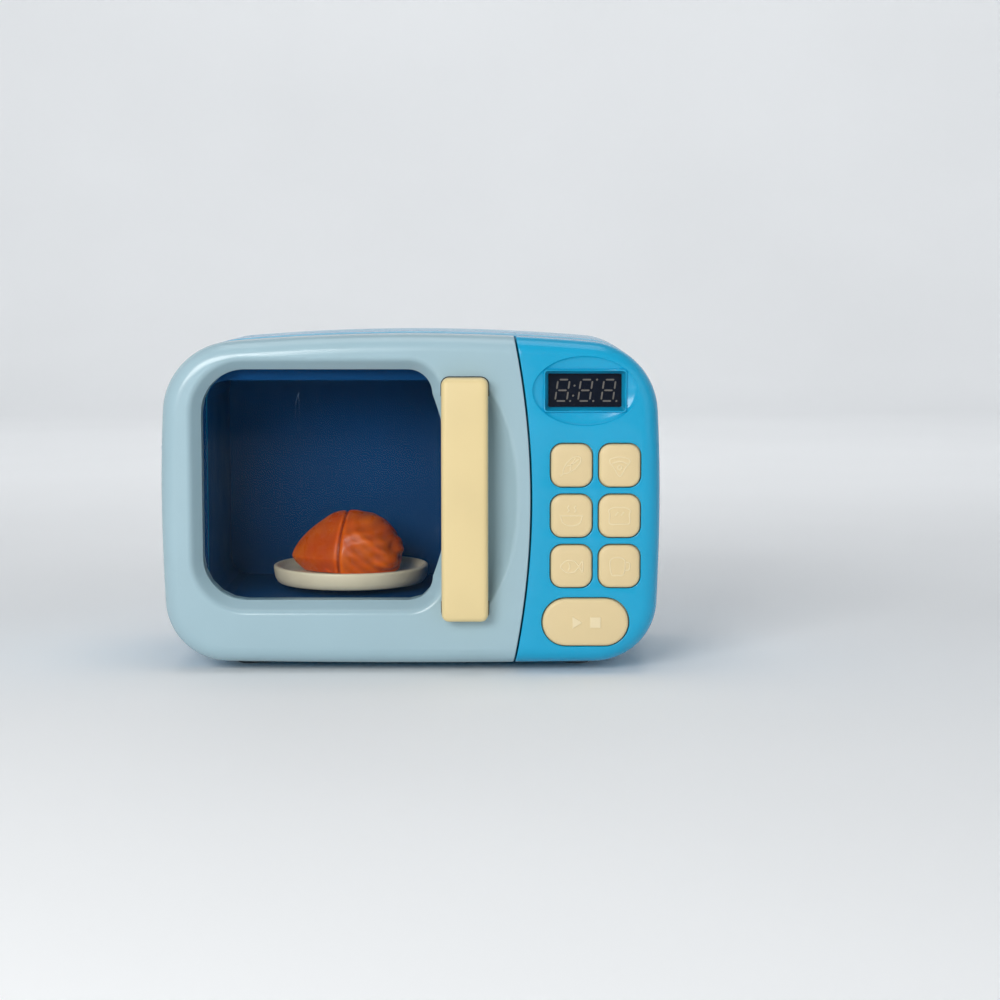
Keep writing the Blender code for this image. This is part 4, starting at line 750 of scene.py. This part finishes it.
def case_front():
    """The azure front shell: control panel, side band and the seat behind the door."""
    patch = Patchwork()
    offset = panel_gap + edge_round
    insets = [rim_reach * (1 - sine) for sine, _ in quarter_turn(9)]
    rim = [panel_line(inset, offset) for inset in insets]
    drops = [face_y + rim_drop(inset) for inset in insets]
    skin_start = 4
    patch.strips(list(zip(rim, drops))[skin_start:], closed=False)
    starts, ends = [line[0] for line in rim], [line[-1] for line in rim]
    heights = np.linspace(ends[0][1], starts[0][1], 80)
    edge_line = np.stack([edge_at(heights, offset), heights], axis=1)[1:-1]
    upper, lower = ends[:skin_start][::-1], starts[:skin_start]
    holes = [display_dish(patch)]
    for _, place, size, radius, _ in key_shapes():
        hole = growing_rect(size, radius, place)
        holes.append(round_hole(patch, lambda grow: hole(button_clearance + grow), button_well, panel_depth))
    guides = [(line[1:-1], False) for line in rim[:skin_start]]
    patch.relief(np.concatenate([rim[skin_start], upper, edge_line, lower]), holes, guides, panel_depth)

    # The side towards the door, from the lower end of the rim to the upper one
    side = np.concatenate([starts[::-1], edge_line[::-1], ends])
    front = np.concatenate([drops[::-1], np.full(len(edge_line), face_y), drops])
    lines = []
    for sine, cosine in quarter_turn(4):
        lines.append((side - [edge_round * sine, 0], front + edge_round * (1 - cosine)))
    patch.strips(lines + [(lines[-1][0], seat_y)], closed=False)
    patch.strips([(rim[-1], face_y + rim_radius), (rim[-1], seat_y)], closed=False)
    rows = [(edge_round, seat_y), (edge_round * 0.3, seat_y + edge_round * 0.3), (0, seat_y + edge_round)]
    rows += [(0, split_y - joint_round), (joint_round, split_y), (wall, split_y), (wall, seat_y + wall)]
    patch.strips([(body_outline(inset), y) for inset, y in rows])

    # The seat with its two openings
    catch_low, catch_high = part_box("door_catch")
    catch_size = (catch_width, catch_high.z - catch_low.z + 2 * catch_clearance)
    catch_place = (middle_of("door_catch")[0] + catch_shift, mid_z)
    cavity = growing_rect(cavity_size, cavity_radius, cavity_centre, 12)
    catch = growing_rect(catch_size, 0.4 * mm, catch_place, 3)
    openings = [
        round_hole(patch, cavity, wall + lip_round, seat_depth, 0.5 * mm),
        round_hole(patch, catch, wall, seat_depth),
    ]
    patch.flat([body_outline(edge_round), *openings], seat_y)
    hinge_lug(patch)
    return patch.make("case_front", looks["azure_abs"])


def hinge_lug(patch):
    """The eye round the hinge pin, on an arm out of the seat."""
    near, far = lug_arm_from_axis, lug_arm_from_axis + lug_arm_width
    root = seat_y - hinge_y
    eye = arc((0, 0), lug_radius, math.acos(near / lug_radius), math.tau, 40)
    section = np.concatenate([eye, [(far, 0.0), (far, root), (near, root)]])
    rounded = section * (1 - lug_round / lug_radius)
    end = lug_height / 2
    loops = []
    levels = [(rounded, -end), (section, -end + lug_round), (section, end - lug_round), (rounded, end)]
    for line, up in levels:
        first = len(patch.points)
        patch.points += [(hinge_x + float(x), hinge_y + float(y), mid_z + up) for x, y in line]
        loops.append(list(range(first, len(patch.points))))
    for low, high in zip(loops, loops[1:]):
        patch.bridge(low, high)
    patch.faces += [tuple(loops[0][::-1]), tuple(loops[-1])]


def case_back():
    """The azure rear shell with its grille, switch slot, battery opening and screw wells."""
    patch = Patchwork()
    start, back = rear_low.y, rear_high.y
    rim_y = back - back_rim_radius
    rows = [(wall, start + 3 * mm), (wall, start), (joint_round, start), (0, start + joint_round), (0, rim_y)]
    for sine, cosine in quarter_turn(9, 1):
        rows.append((back_rim_reach * (1 - cosine), back - back_rim_radius * (1 - sine)))
    rings = [(body_outline(inset), y) for inset, y in rows]
    skin_start = 10
    patch.strips(rings[: skin_start + 1])
    holes = []

    def back_depth(points):
        distance = outline_distance(points, body_outline())
        return back - rim_drop(distance, back_rim_reach, back_rim_radius)

    def well(outline_of, depth=wall, fall=0.2 * mm):
        holes.append(round_hole(patch, outline_of, depth, back_depth, fall, -1))

    speaker_x, speaker_z = middle_of("speaker")
    spots = [(0, 0)] + [(ring, math.tau * step / (6 * ring)) for ring in (1, 2) for step in range(6 * ring)]
    for ring, angle in spots:
        reach = ring * grille_pitch
        place = (speaker_x + reach * math.cos(angle), speaker_z + reach * math.sin(angle))
        well(growing_circle(grille_hole, place, 20))
    cover_low, cover_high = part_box("battery_door")
    cover_size = [cover_high[axis] - cover_low[axis] + 2 * cover_gap for axis in (0, 2)]
    well(growing_rect(cover_size, cover_radius, middle_of("battery_door"), 6), fall=0.25 * mm)
    slider_x, slider_z = middle_of("power_slider")
    well(growing_rect(slot_size, 0.5 * mm, (slider_x + slot_shift, slider_z), 4))
    for index in range(1, 5):
        place = middle_of(f"case_screw_{index}")
        well(growing_circle(screw_well, place, 28), screw_well_depth, lip_round)
    guides = [(ring, True) for ring, _ in rings[skin_start + 1 :]]
    patch.relief(rings[skin_start][0], holes, guides, back_depth)
    return patch.make("case_back", looks["azure_abs"])


def door_depth(points, outline, window):
    """How far back the door's skin lies from its face, for points seen from the front."""
    from_window = outline_distance(points, window)
    depth = rim_drop(outline_distance(points, outline))
    depth += rim_drop(edge_at(points[:, 1], 0) - points[:, 0], edge_round, edge_round)
    run = np.clip(funnel_width - from_window, -funnel_round, funnel_width)
    eased = np.where(run < funnel_round, (run + funnel_round) ** 2 / (4 * funnel_round), run)
    depth += eased * funnel_depth / funnel_width
    across = (points[:, 0] - handle_x) / dish_half_width
    up = (points[:, 1] - dish_z) / dish_half_height
    share = np.sqrt(across**2 + up**2)
    slope = np.sqrt((across / dish_half_width) ** 2 + (up / dish_half_height) ** 2)
    inward = (1 - share) * share / np.maximum(slope, 1e-6)
    soft = np.sqrt(np.clip(inward, 0, None) ** 2 + dish_round**2) - dish_round
    hollow = dish_depth * (1 - np.exp(-soft / dish_slope)) / (1 - math.exp(-dish_reach / dish_slope))
    hollow *= smooth((from_window - funnel_width - dish_to_funnel) / dish_fade)
    pad_z = np.abs(points[:, 1] - handle_z) - (handle_length / 2 - handle_foot_length)
    pad_x = handle_width / 2 - pad_inset - np.abs(points[:, 0] - handle_x)
    pad = smooth(np.minimum(pad_z, pad_x) / pad_slope + 0.5)
    return depth + hollow * (1 - pad)


def stop_at_eye(rows, notched):
    """Ends the door's skin where it meets the hollow round the hinge's eye. Returns the angles there."""
    ends = []
    for ray in np.flatnonzero(notched):
        line = np.array([(points[ray, 0], points[ray, 1], depth[ray]) for points, depth in rows])
        apart = np.hypot(line[:, 0] - hinge_x, line[:, 2] - hinge_y)
        inside = np.flatnonzero((apart < eye_room) & (line[:, 0] < hinge_x))[0]
        share = (apart[inside - 1] - eye_room) / (apart[inside - 1] - apart[inside])
        stop = line[inside - 1] + (line[inside] - line[inside - 1]) * share
        for points, depth in rows[inside:]:
            points[ray], depth[ray] = stop[:2], stop[2]
        ends.append(math.atan2(stop[2] - hinge_y, stop[0] - hinge_x) % math.tau)
    return np.array(ends)


def door_back_limit(points):
    """Depth of the door's back, which is rounded at its hinge side so that it clears the seat."""
    past = np.clip(hinge_back_round - half_width - points[:, 0], 0, hinge_back_round)
    return door_back_y - hinge_back_round + np.sqrt(hinge_back_round**2 - past**2)


def door_shell():
    """The pale blue door: rim, window funnel and finger dish as one skin of rays from the window out."""
    outline, window = body_outline(), window_outline()
    centre = np.array([(window_left + window_right) / 2 + 8 * mm, mid_z + 2 * mm])
    meeting = panel_line(0, 0)[[0, -1]]

    # Rays at even angles, but exact where door and panel meet, and double at the ends of the notch
    left = outline[outline[:, 0] < -half_width * 0.9]
    left = left[np.argsort(left[:, 1])]
    notch_z = mid_z + np.array([notch_height / 2, -notch_height / 2])
    notch_ends = np.stack([np.interp(notch_z, left[:, 1], left[:, 0]), notch_z], axis=1)
    notch_turns = turn_of(notch_ends, centre)
    exact = np.concatenate([turn_of(meeting, centre), notch_turns, notch_turns])
    even = np.linspace(0, math.tau, 720, endpoint=False) + ray_start
    rays = np.sort(np.concatenate([even[np.abs(even[:, None] - exact[None]).min(axis=1) > ray_gap], exact]))
    first, last = np.searchsorted(rays, notch_turns)
    notched = np.zeros(len(rays), dtype=bool)
    notched[first + 1 : last + 1] = True

    inner_reach = reach_at(rays, resample(window, 1500, closed=True), centre)
    dense = resample(outline, 5000, closed=True)
    dense = dense[dense[:, 0] < edge_at(dense[:, 1], 0)]
    heights = np.linspace(meeting[0][1], meeting[1][1], 1500)
    edge = np.stack([edge_at(heights, 0), heights], axis=1)
    outer_reach = reach_at(rays, np.concatenate([dense, edge]), centre)
    directions = np.stack([np.cos(rays), np.sin(rays)], axis=1)

    # The skin
    from_window = np.array([0, 0.4, 1.2, 2.0, 2.8, 3.4, 3.9, 4.3, 4.7, 5.1, 5.6]) * mm
    from_rim = np.array([0.0, 0.12, 0.3, 0.48, 1.0, 1.8, 2.8, 3.9, 5.1, 6.3, 7.6]) * mm
    start, end = from_window[-1], from_rim[-1]
    span = outer_reach - inner_reach - start - end
    reaches = [inner_reach + step for step in from_window]
    reaches += [inner_reach + start + span * share for share in np.linspace(0, 1, 84)[1:-1]]
    reaches += [outer_reach - step for step in from_rim[::-1]]
    rows = []
    for reach in reaches:
        points = centre + directions * reach[:, None]
        rows.append((points, face_y + door_depth(points, outline, window)))
    near_eye = stop_at_eye(rows, notched)

    # The edge and the back, which leave room for the eye and swing clear of the seat
    outer, outer_y = rows[-1]
    inward = outer + (centre - outer) / np.linalg.norm(centre - outer, axis=1)[:, None] * wall
    straight = 1 - smooth((np.abs(outer[:, 1] - mid_z) - hinge_straight) / hinge_fade)
    straight *= outer[:, 0] < hinge_rib - half_width
    inward[:, 1] += (outer[:, 1] - inward[:, 1]) * straight
    inward[:, 0] = np.maximum(inward[:, 0], hinge_rib - half_width)
    rows.append((outer, np.where(notched, outer_y, door_back_limit(outer))))

    def notched_row(points, depth, x, y):
        points[notched, 0], points[notched, 1] = x, outer[notched, 1]
        depth[notched] = y
        rows.append((points, depth))

    for share in np.arange(13) / 12:
        turn = near_eye + (math.pi * 1.5 - near_eye) * share
        points = outer + (inward - outer) * share**2
        x, y = hinge_x + eye_room * np.cos(turn), hinge_y + eye_room * np.sin(turn)
        notched_row(points, door_back_limit(points), x, y)
    for reach, y in ((0, hinge_y - eye_room), (0, door_back_y), (wall, door_back_y)):
        notched_row(inward.copy(), np.full(len(outer), door_back_y), hinge_x + notch_reach + reach, y)
    collar = centre + directions * (inner_reach + collar_reach)[:, None]
    collar[:, 1] += (outer[:, 1] - collar[:, 1]) * straight
    ceiling_y, collar_y = door_back_y - door_ceiling, pane_front_y - pane_gap
    rows += [(rows[-1][0], ceiling_y), (collar, ceiling_y), (collar, collar_y)]
    rows.append((centre + directions * inner_reach[:, None], collar_y))
    patch = Patchwork()
    loops = patch.strips(rows)
    patch.bridge(loops[-1], loops[0])
    return patch.make("door_shell", pale_blue)


def painted_shade_sheet():
    """A thin deep blue sheet on the seat that frames the oven's mouth: painted shade over the body-coloured
    frame seen through the window.
    """
    patch = Patchwork()
    line = growing_rect(cavity_size, cavity_radius, cavity_centre, 14)
    front = seat_y - 0.25 * mm
    rows = [(0.05, seat_y + wall), (0.05, front + 0.4 * mm), (0.2, front + 0.1 * mm), (0.5, front)]
    rows += [(6.1, front), (6.3, front + 0.08 * mm), (6.4, seat_y + 0.02 * mm)]
    patch.strips([(line(grow * mm), y) for grow, y in rows])
    return patch.make("painted_shade_sheet", looks["deep_blue_abs"])


# Handle


def bar_outline(inset):
    """The bar from the front, with close points along its sides."""
    width, length = handle_width - 2 * inset, handle_length - 2 * inset
    radius = max(handle_corner - inset, 0.3 * mm)
    corner = rounded_rect(width, length, radius, steps=7)
    half = len(corner) // 2
    shares = np.linspace(1, -1, 62)[1:-1, None]
    left = np.array([[-width / 2, 0]]) + shares * np.array([[0, length / 2 - radius]])
    return np.concatenate([corner[:half], left, corner[half:], left[::-1] * np.array([[-1, 1]])])


def door_bar():
    """A bowed bar with round edges, whose two feet stand in the finger dish."""
    patch = Patchwork()
    centre = np.array([handle_x, handle_z])
    reach = handle_length / 2
    rows = []

    def front_row(inset, back):
        points = bar_outline(inset)
        share = np.abs(points[:, 1]) / reach
        bow = handle_low.y + 0.9 * mm * share**6 + 0.5 * mm * share**2
        rows.append((points + centre, bow + back))

    for inset in (handle_width / 2 - 0.6 * mm, 6 * mm, 4.5 * mm, 3.4 * mm):
        front_row(inset, handle_crown * (1 - inset / (handle_width / 2)))
    for sine, cosine in quarter_turn(7):
        front_row(handle_round * (1 - sine), handle_crown + handle_round * (1 - cosine))
    share = np.clip(np.abs(bar_outline(0)[:, 1]) / (reach - handle_foot_length), 0, 1)
    back = face_y - handle_back_gap - handle_arch * (1 - share**6) * (share < 1)
    for sine, cosine in quarter_turn(4):
        line = bar_outline(handle_back_round * (1 - cosine)) + centre
        rows.append((line, back - handle_back_round * (1 - sine)))
    rows.append((bar_outline(3 * mm) + centre, back))
    loops = patch.strips(rows)

    # The front and the back close between points that mirror each other
    for loop, (line, _) in ((loops[0], rows[0]), (loops[-1], rows[-1])):
        flipped = line * np.array([-1, 1]) + np.array([2 * handle_x, 0])
        pairs = ((line[:, None] - flipped[None]) ** 2).sum(axis=2).argmin(axis=1)
        right = line[:, 0] >= handle_x - 1e-9
        for index in range(len(line)):
            after = (index + 1) % len(line)
            if right[index] and right[after]:
                patch.faces.append((loop[index], loop[after], loop[pairs[after]], loop[pairs[index]]))
    # Each foot gets a black strip round it, painted shade for its gap at the door
    return join(patch.make("door_bar", looks["cream_abs"], 60), [foot_shadow_line(1), foot_shadow_line(-1)])


def foot_shadow_line(side):
    """A black strip round a foot of the bar: painted shade for the gap where the foot enters the door."""
    patch = Patchwork()
    line = bar_outline(-shadow_line_proud)
    inner = handle_length / 2 - handle_foot_length + shadow_line_above_foot
    foot = line[line[:, 1] * side > inner]
    order = np.argsort(np.arctan2(foot[:, 1] - side * inner, foot[:, 0]) * side)
    foot = foot[order] + np.array([handle_x, handle_z])
    loops = patch.strips([(foot, face_y + 0.25 * mm), (foot, face_y - 0.24 * mm)])
    patch.faces += [tuple(loops[0]), tuple(loops[1])]
    return patch.make(f"foot_shadow_line_{side}", looks["black_abs"])


# Buttons


def pillow(name, place, size, radius, front_y):
    """A moulded key: hidden lip, straight sides, round edge and a slightly crowned top."""
    patch = Patchwork()
    outline = growing_rect(size, radius, place, 9)
    back_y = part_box(name)[1].y
    side_y = front_y + button_round
    lip_y = back_y - button_lip
    rows = [(button_flange, back_y), (button_flange, lip_y), (0, lip_y), (0, side_y)]
    for sine, cosine in quarter_turn(6, 1):
        rows.append((-button_round * (1 - cosine), side_y - (button_round - button_crown) * sine))
    for share in (0.35, 0.6, 0.8):
        inset = button_round + (radius - button_round - 0.3 * mm) * share
        rows.append((-inset, front_y + button_crown * (1 - share) ** 2))
    loops = patch.strips([(outline(grow), y) for grow, y in rows])
    patch.points.append((place[0], front_y, place[1]))
    centre = len(patch.points) - 1
    top = loops[-1]
    patch.faces += [(corner, after, centre) for corner, after in zip(top, top[1:] + top[:1])]
    patch.faces.append(tuple(loops[0][::-1]))
    return patch.make(f"{name}_key", key_cream, 50)


def stroke(patch, line, front_y, closed):
    """A raised line of even width with a rounded top, on a key."""
    along = np.roll(line, -1, axis=0) - np.roll(line, 1, axis=0) if closed else np.gradient(line, axis=0)
    along /= np.maximum(np.linalg.norm(along, axis=1), 1e-9)[:, None]
    across = np.stack([-along[:, 1], along[:, 0]], axis=1) * stroke_width
    levels = ((-0.5, 0), (-0.42, 0.6), (-0.22, 0.95), (0.22, 0.95), (0.42, 0.6), (0.5, 0))
    rows = [(line + across * offset, front_y + stroke_height * (0.4 - up)) for offset, up in levels]
    loops = patch.strips(rows, closed)
    if not closed:
        patch.faces += [tuple(loop[0] for loop in loops), tuple(loop[-1] for loop in loops[::-1])]


def curve(points, closed, steps=8):
    """A smooth line through points."""
    points = np.array(points, dtype=float)
    if closed:
        line = np.concatenate([points[-1:], points, points[:2]])
    else:
        line = np.concatenate([[2 * points[0] - points[1]], points, [2 * points[-1] - points[-2]]])
    t = (np.arange(steps) / steps)[:, None]
    parts = []
    for a, b, c, d in zip(line, line[1:], line[2:], line[3:]):
        square, cube = (2 * a - 5 * b + 4 * c - d) * t**2, (3 * b - a - 3 * c + d) * t**3
        parts.append(0.5 * (2 * b + (c - a) * t + square + cube))
    return np.concatenate(parts if closed else [*parts, points[-1:]])


# Raised figures on the keys, in millimetres from the key's middle: (closed, points)
pictograms = {
    "button_1": [  # ear of corn
        (True, [(-3.4, -3.2), (-2.2, 0.8), (1.2, 3.6), (3.6, 3.4), (3.2, 0.8), (0.4, -2)]),
        (False, [(-2.4, -0.2), (0.2, 0.6), (3, 2.6)]),
        (False, [(-0.6, -2.6), (-0.2, 0), (1.6, 3.2)]),
        (False, [(-4.6, -4.4), (-3.4, -3.2)]),
    ],
    "button_2": [  # slice of pie
        (True, [(-4.2, 2.2), (0, 3.6), (4.2, 2.2), (2.2, -1.2), (0, -4.4), (-2.2, -1.2)]),
        (False, [(-3.2, 0.8), (0, 1.8), (3.2, 0.8)]),
        (True, [(-0.9, -0.8), (0, 0.1), (0.9, -0.8), (0, -1.7)]),
    ],
    "button_3": [  # bowl with steam
        (False, [(-4.4, 0), (-3.4, -2.8), (0, -4), (3.4, -2.8), (4.4, 0)]),
        (False, [(-4.8, 0.2), (0, 0.2), (4.8, 0.2)]),
        (False, [(-1.6, 1.6), (-0.9, 2.6), (-1.6, 3.5), (-0.9, 4.4)]),
        (False, [(1.2, 1.6), (1.9, 2.6), (1.2, 3.5), (1.9, 4.4)]),
    ],
    "button_4": [  # loaf
        (True, [(-4, -3), (-4, 0.6), (-4.4, 2.4), (-2, 3.6), (2, 3.6), (4.4, 2.4), (4, 0.6),
                (4, -3), (0, -3.2)]),
        (False, [(-1.8, 0.2), (-0.6, 1.8)]),
        (False, [(0.6, 0.2), (1.8, 1.8)]),
    ],
    "button_5": [  # fish
        (True, [(-4.4, 0), (-2, 2.4), (1.2, 2.2), (3.2, 0.4), (4.6, 2.2), (4.6, -2.2), (3.2, -0.4),
                (1.2, -2.2), (-2, -2.4)]),
        (False, [(-1.2, 1.7), (-0.6, 0), (-1.2, -1.7)]),
    ],
    "button_6": [  # mug
        (True, [(-3.4, 3), (2, 3), (1.8, -3), (-0.7, -3.6), (-3.2, -3)]),
        (False, [(2, 1.8), (4.2, 1.4), (4, -1.2), (1.9, -1.6)]),
    ],
}
play_and_stop = [
    [(-5.4, -2.6), (-5.4, 2.6), (-1.2, 0)],
    [(1.8, -2.3), (6.4, -2.3), (6.4, 2.3), (1.8, 2.3)],
]


def key(name, place, size, radius, front_y):
    """A key with its raised figures."""
    body = pillow(name, place, size, radius, front_y)
    patch = Patchwork()
    if name in pictograms:
        for closed, points in pictograms[name]:
            stroke(patch, curve(points, closed) * mm + np.array(place), front_y, closed)
    else:
        for shape in play_and_stop:
            line = resample(np.array(shape) * mm + np.array(place), 36, closed=True)
            middle = line.mean(axis=0)
            levels = ((1.0, -0.2), (0.97, 0.16), (0.9, 0.28), (0.5, 0.28))
            rows = [(middle + (line - middle) * grow, front_y - up * mm) for grow, up in levels]
            patch.faces.append(tuple(patch.strips(rows)[-1]))
    # The figures take the lighter cream, a painted highlight on the raised strokes
    return join(body, [patch.make(f"{name}_symbols", key_mark_highlight, 60 if name in pictograms else 30)])


# Display

# The ends of a digit's seven segments, in shares of its width and height
segments = [
    ((0.12, 1.0), (0.88, 1.0)),
    ((1.0, 0.94), (1.0, 0.56)),
    ((1.0, 0.44), (1.0, 0.06)),
    ((0.12, 0.0), (0.88, 0.0)),
    ((0.0, 0.44), (0.0, 0.06)),
    ((0.0, 0.94), (0.0, 0.56)),
    ((0.12, 0.5), (0.88, 0.5)),
]


def display_face():
    """Three slanted digits with every segment unlit, a colon and points, on a black module."""
    patch = Patchwork()
    front = display_y - 0.04 * mm
    left, low = display_x - display_width / 2, display_z - digit_size[1] / 2

    def area(points):
        line = [(x + (z - low) * digit_slant, z) for x, z in points]
        patch.faces.append(tuple(patch.add_loop(line, front)))

    for start in digit_starts:
        corner = np.array([left + start * mm, low])
        for a, b in segments:
            a, b = corner + np.array(a) * digit_size, corner + np.array(b) * digit_size
            along = (b - a) / math.hypot(*(b - a)) * digit_half_stroke
            across = np.array([-along[1], along[0]])
            area([a, a + along + across, b - along + across, b, b - along - across, a + along - across])
    for x, up in digit_dots:
        area(arc((left + x * mm, low + up * digit_size[1]), 0.42 * mm, 0, math.tau, 16)[:-1])
    return patch.make("display_segments", segment_grey, 30)


# Turntable and food


def turntable():
    """The plate: a rippled floor, a steep round rim and a ring to stand on."""
    axis = ((plate_low.x + plate_high.x) / 2, (plate_low.y + plate_high.y) / 2)
    radius = (plate_high.x - plate_low.x) / 2
    low, high = plate_low.z, plate_high.z
    floor = low + 4.4 * mm
    profile = [(0, floor)]
    for share in np.linspace(0.06, 0.8, 24):
        profile.append((radius * share, floor + 0.09 * mm * math.cos(share * 60)))

    def add(*steps):
        """Adds points, each as millimetres in from the plate's edge and above a level."""
        profile.extend((radius - inward * mm, level + up * mm) for inward, level, up in steps)

    add((5.0, floor, 0), (4.1, floor, 0.25), (3.4, floor, 0.9), (2.7, high, -1.0), (2.4, high, -0.4))
    for step in range(7):
        turn = math.pi * (1 - step / 6)
        add((1.0 - 0.95 * math.cos(turn), high, -0.7 + 0.7 * math.sin(turn)))
    add((0, high, -1.2), (0.6, low, 2.4), (1.6, low, 0.5), (2.2, low, 0), (3.2, low, 0), (4.0, floor, -1.6))
    profile.append((6 * mm, floor - 1.6 * mm))
    return turned_mesh("dish_plate", profile, 144, plate_cream, axis)


def reach_of(directions, centre, size, tilt=0.0):
    """How far rays from the origin run inside an ellipsoid, or nothing where they miss it."""
    cos_tilt, sin_tilt = math.cos(tilt), math.sin(tilt)
    turn = np.array([[cos_tilt, 0, sin_tilt], [0, 1, 0], [-sin_tilt, 0, cos_tilt]])
    scaled = directions @ turn / size
    offset = np.array(centre) @ turn / size
    a = (scaled**2).sum(axis=1)
    b = -(scaled * offset).sum(axis=1)
    c = (offset**2).sum() - 1
    inside = b**2 - a * c
    return np.where(inside > 0, (-b + np.sqrt(np.clip(inside, 0, None))) / a, 0.0)


# Wing, leg and neck end of the roast in shares of its half size: (centre, half size, tilt)
roast_lumps = [
    ((0.40, -0.56, 0.42), (0.34, 0.38, 0.56), -0.6),
    ((0.58, -0.42, -0.06), (0.38, 0.46, 0.34), -0.2),
    ((0.78, -0.12, 0.22), (0.24, 0.44, 0.40), 0.2),
]


def roast_bird():
    """The play roast: plump lumps run together, with creases where they meet."""
    rings, steps = 120, 200
    polar = np.linspace(0, math.pi, rings + 1)[:, None]
    around = np.linspace(0, math.tau, steps, endpoint=False)[None]
    x, y = np.sin(polar) * np.cos(around), np.sin(polar) * np.sin(around)
    directions = np.stack([x, y, np.cos(polar) + 0 * around], axis=2).reshape(-1, 3)
    power = 1.45 + 0.85 * smooth(directions[:, 0] * 1.2 + 0.5)
    spread = np.abs(directions / (1, 0.95, 1))
    spread[:, 2] /= np.where(directions[:, 2] > 0, 1.4, 1.0)
    dome = (spread ** power[:, None]).sum(axis=1) ** (-1 / power)
    reaches = np.stack([dome] + [reach_of(directions, *lump) for lump in roast_lumps])
    sharp = 30
    reach = np.log(np.exp(reaches * sharp).sum(axis=0)) / sharp
    points = directions * reach[:, None]
    x, y, z = points.T
    bend = x + 0.10 - 0.07 * z**2
    crease = np.exp(-((bend / 0.03) ** 2)) * smooth(-y * 2 + 0.8)
    ridges = np.sin(z * 17 + x * 9 + 2 * np.sin(y * 6)) * np.sin(x * 14 - y * 8 + 1.0)
    step = 0.035 * smooth(bend * 14 + 0.5) * smooth(-y * 2 + 0.6)
    points = points * (1 - 0.06 * crease + 0.016 * ridges * smooth(x * 5 + 0.2) + step)[:, None]
    points[:, 2] = np.maximum(points[:, 2], -0.45)
    low, high = points.min(axis=0), points.max(axis=0)
    box_low, box_high = [np.array(corner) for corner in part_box("roast_chicken")]
    margin = 0.15 * mm
    points = box_low + margin + (points - low) / (high - low) * (box_high - box_low - 2 * margin)
    return build("roast_bird", points.tolist(), ring_faces(rings, steps), looks["roast_orange"], 60)


# The pieces, and the CAD nodes whose place they take

case = case_front()
# A deep blue sheet on the seat, painted shade round the oven's mouth
shade_sheet = painted_shade_sheet()
rear = case_back()
door = door_shell()
bar = door_bar()
replaced = {"front_housing": case, "rear_housing": rear, "door_frame": door, "door_handle": bar}
replaced.update({name: key(name, *shape) for name, *shape in key_shapes()})
digits = display_face()
replaced["turntable_plate"] = turntable()
replaced["roast_chicken"] = roast_bird()
body_of = {name: node["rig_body"] for name, node in frame["nodes"].items()}
slots = {part["node"]: part["material_slot"] for part in frame["record"]["subparts"]}
for name, node in frame["nodes"].items():
    if name in replaced:
        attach(replaced[name], body_of[name])
        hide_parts(name)
    else:
        dress(node.data, looks[slots[name]])
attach(digits, body_of["led_display"])
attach(shade_sheet, body_of["cavity_liner"])

# Floor and backdrop in one wide bowl
floor = Look("backdrop_paper")
paper = floor.ramp(floor.noise(3, 2), 0.3, 0.7)
floor.set(Base_Color=floor.mix(paper, (0.88, 0.89, 0.90), (0.91, 0.92, 0.93)), Roughness=0.75)
floor.bump((floor.noise(1800, 2), 0.1, 0.05 * mm))
floor_reach, wall_reach = 1.7, 0.8
bowl = [(0, 0), (0.5, 0), (floor_reach, 0)]
for turn in np.linspace(0.1, math.pi / 2, 16):
    bowl.append((floor_reach + wall_reach * math.sin(turn), wall_reach * (1 - math.cos(turn))))
bowl.append((floor_reach + wall_reach, 3 * wall_reach))
backdrop = turned_mesh("backdrop", bowl, 96, floor.material, (0, 0))

# Soft lights: name, place, aim, size, power and colour
toy = (0, 0, mid_z)
for name, place, aim, size, power, colour in (
    ("key_light", (-0.45, -1.15, 0.50), toy, (0.6, 0.5), 10.2, (1.0, 0.985, 0.96)),
    ("fill_light", (0.9, -0.9, 0.45), toy, (0.9, 0.9), 1.45, (0.93, 0.97, 1.0)),
    ("top_light", (0.0, 0.0, 1.2), toy, (0.9, 0.7), 3.2, (1.0, 1.0, 1.0)),
    ("backdrop_light", (0.0, 0.5, 1.4), (0, 2.4, 0.9), (1.6, 0.5), 17, (1.0, 1.0, 1.0)),
):
    lamp = bpy.data.lights.new(name, "AREA")
    lamp.shape = "RECTANGLE"
    lamp.size, lamp.size_y = size
    lamp.energy, lamp.color = power, colour
    obj = add_object(name, lamp)
    obj.location = place
    obj.rotation_euler = (Vector(aim) - Vector(place)).to_track_quat("-Z", "Y").to_euler()
world = bpy.data.worlds.new("studio")
world.use_nodes = True
sky = world.node_tree.nodes["Background"].inputs
sky["Color"].default_value = (0.80, 0.86, 0.92, 1)
sky["Strength"].default_value = 0.29
stage = bpy.context.scene
stage.world = world
stage.view_settings.view_transform = "Standard"

# Camera at the photo's angle
lens = bpy.data.cameras.new("camera")
lens.lens, lens.sensor_width, lens.clip_start = 79, 36, 0.05
camera = add_object("camera", lens)
stage.camera = camera
distance, pitch = 900 * mm, math.radians(6)
target = Vector((36.9 * mm, face_y, 72.2 * mm))
camera.location = target + Vector((0, -math.cos(pitch), math.sin(pitch))) * distance
camera.rotation_euler = (math.pi / 2 - pitch, 0, 0)
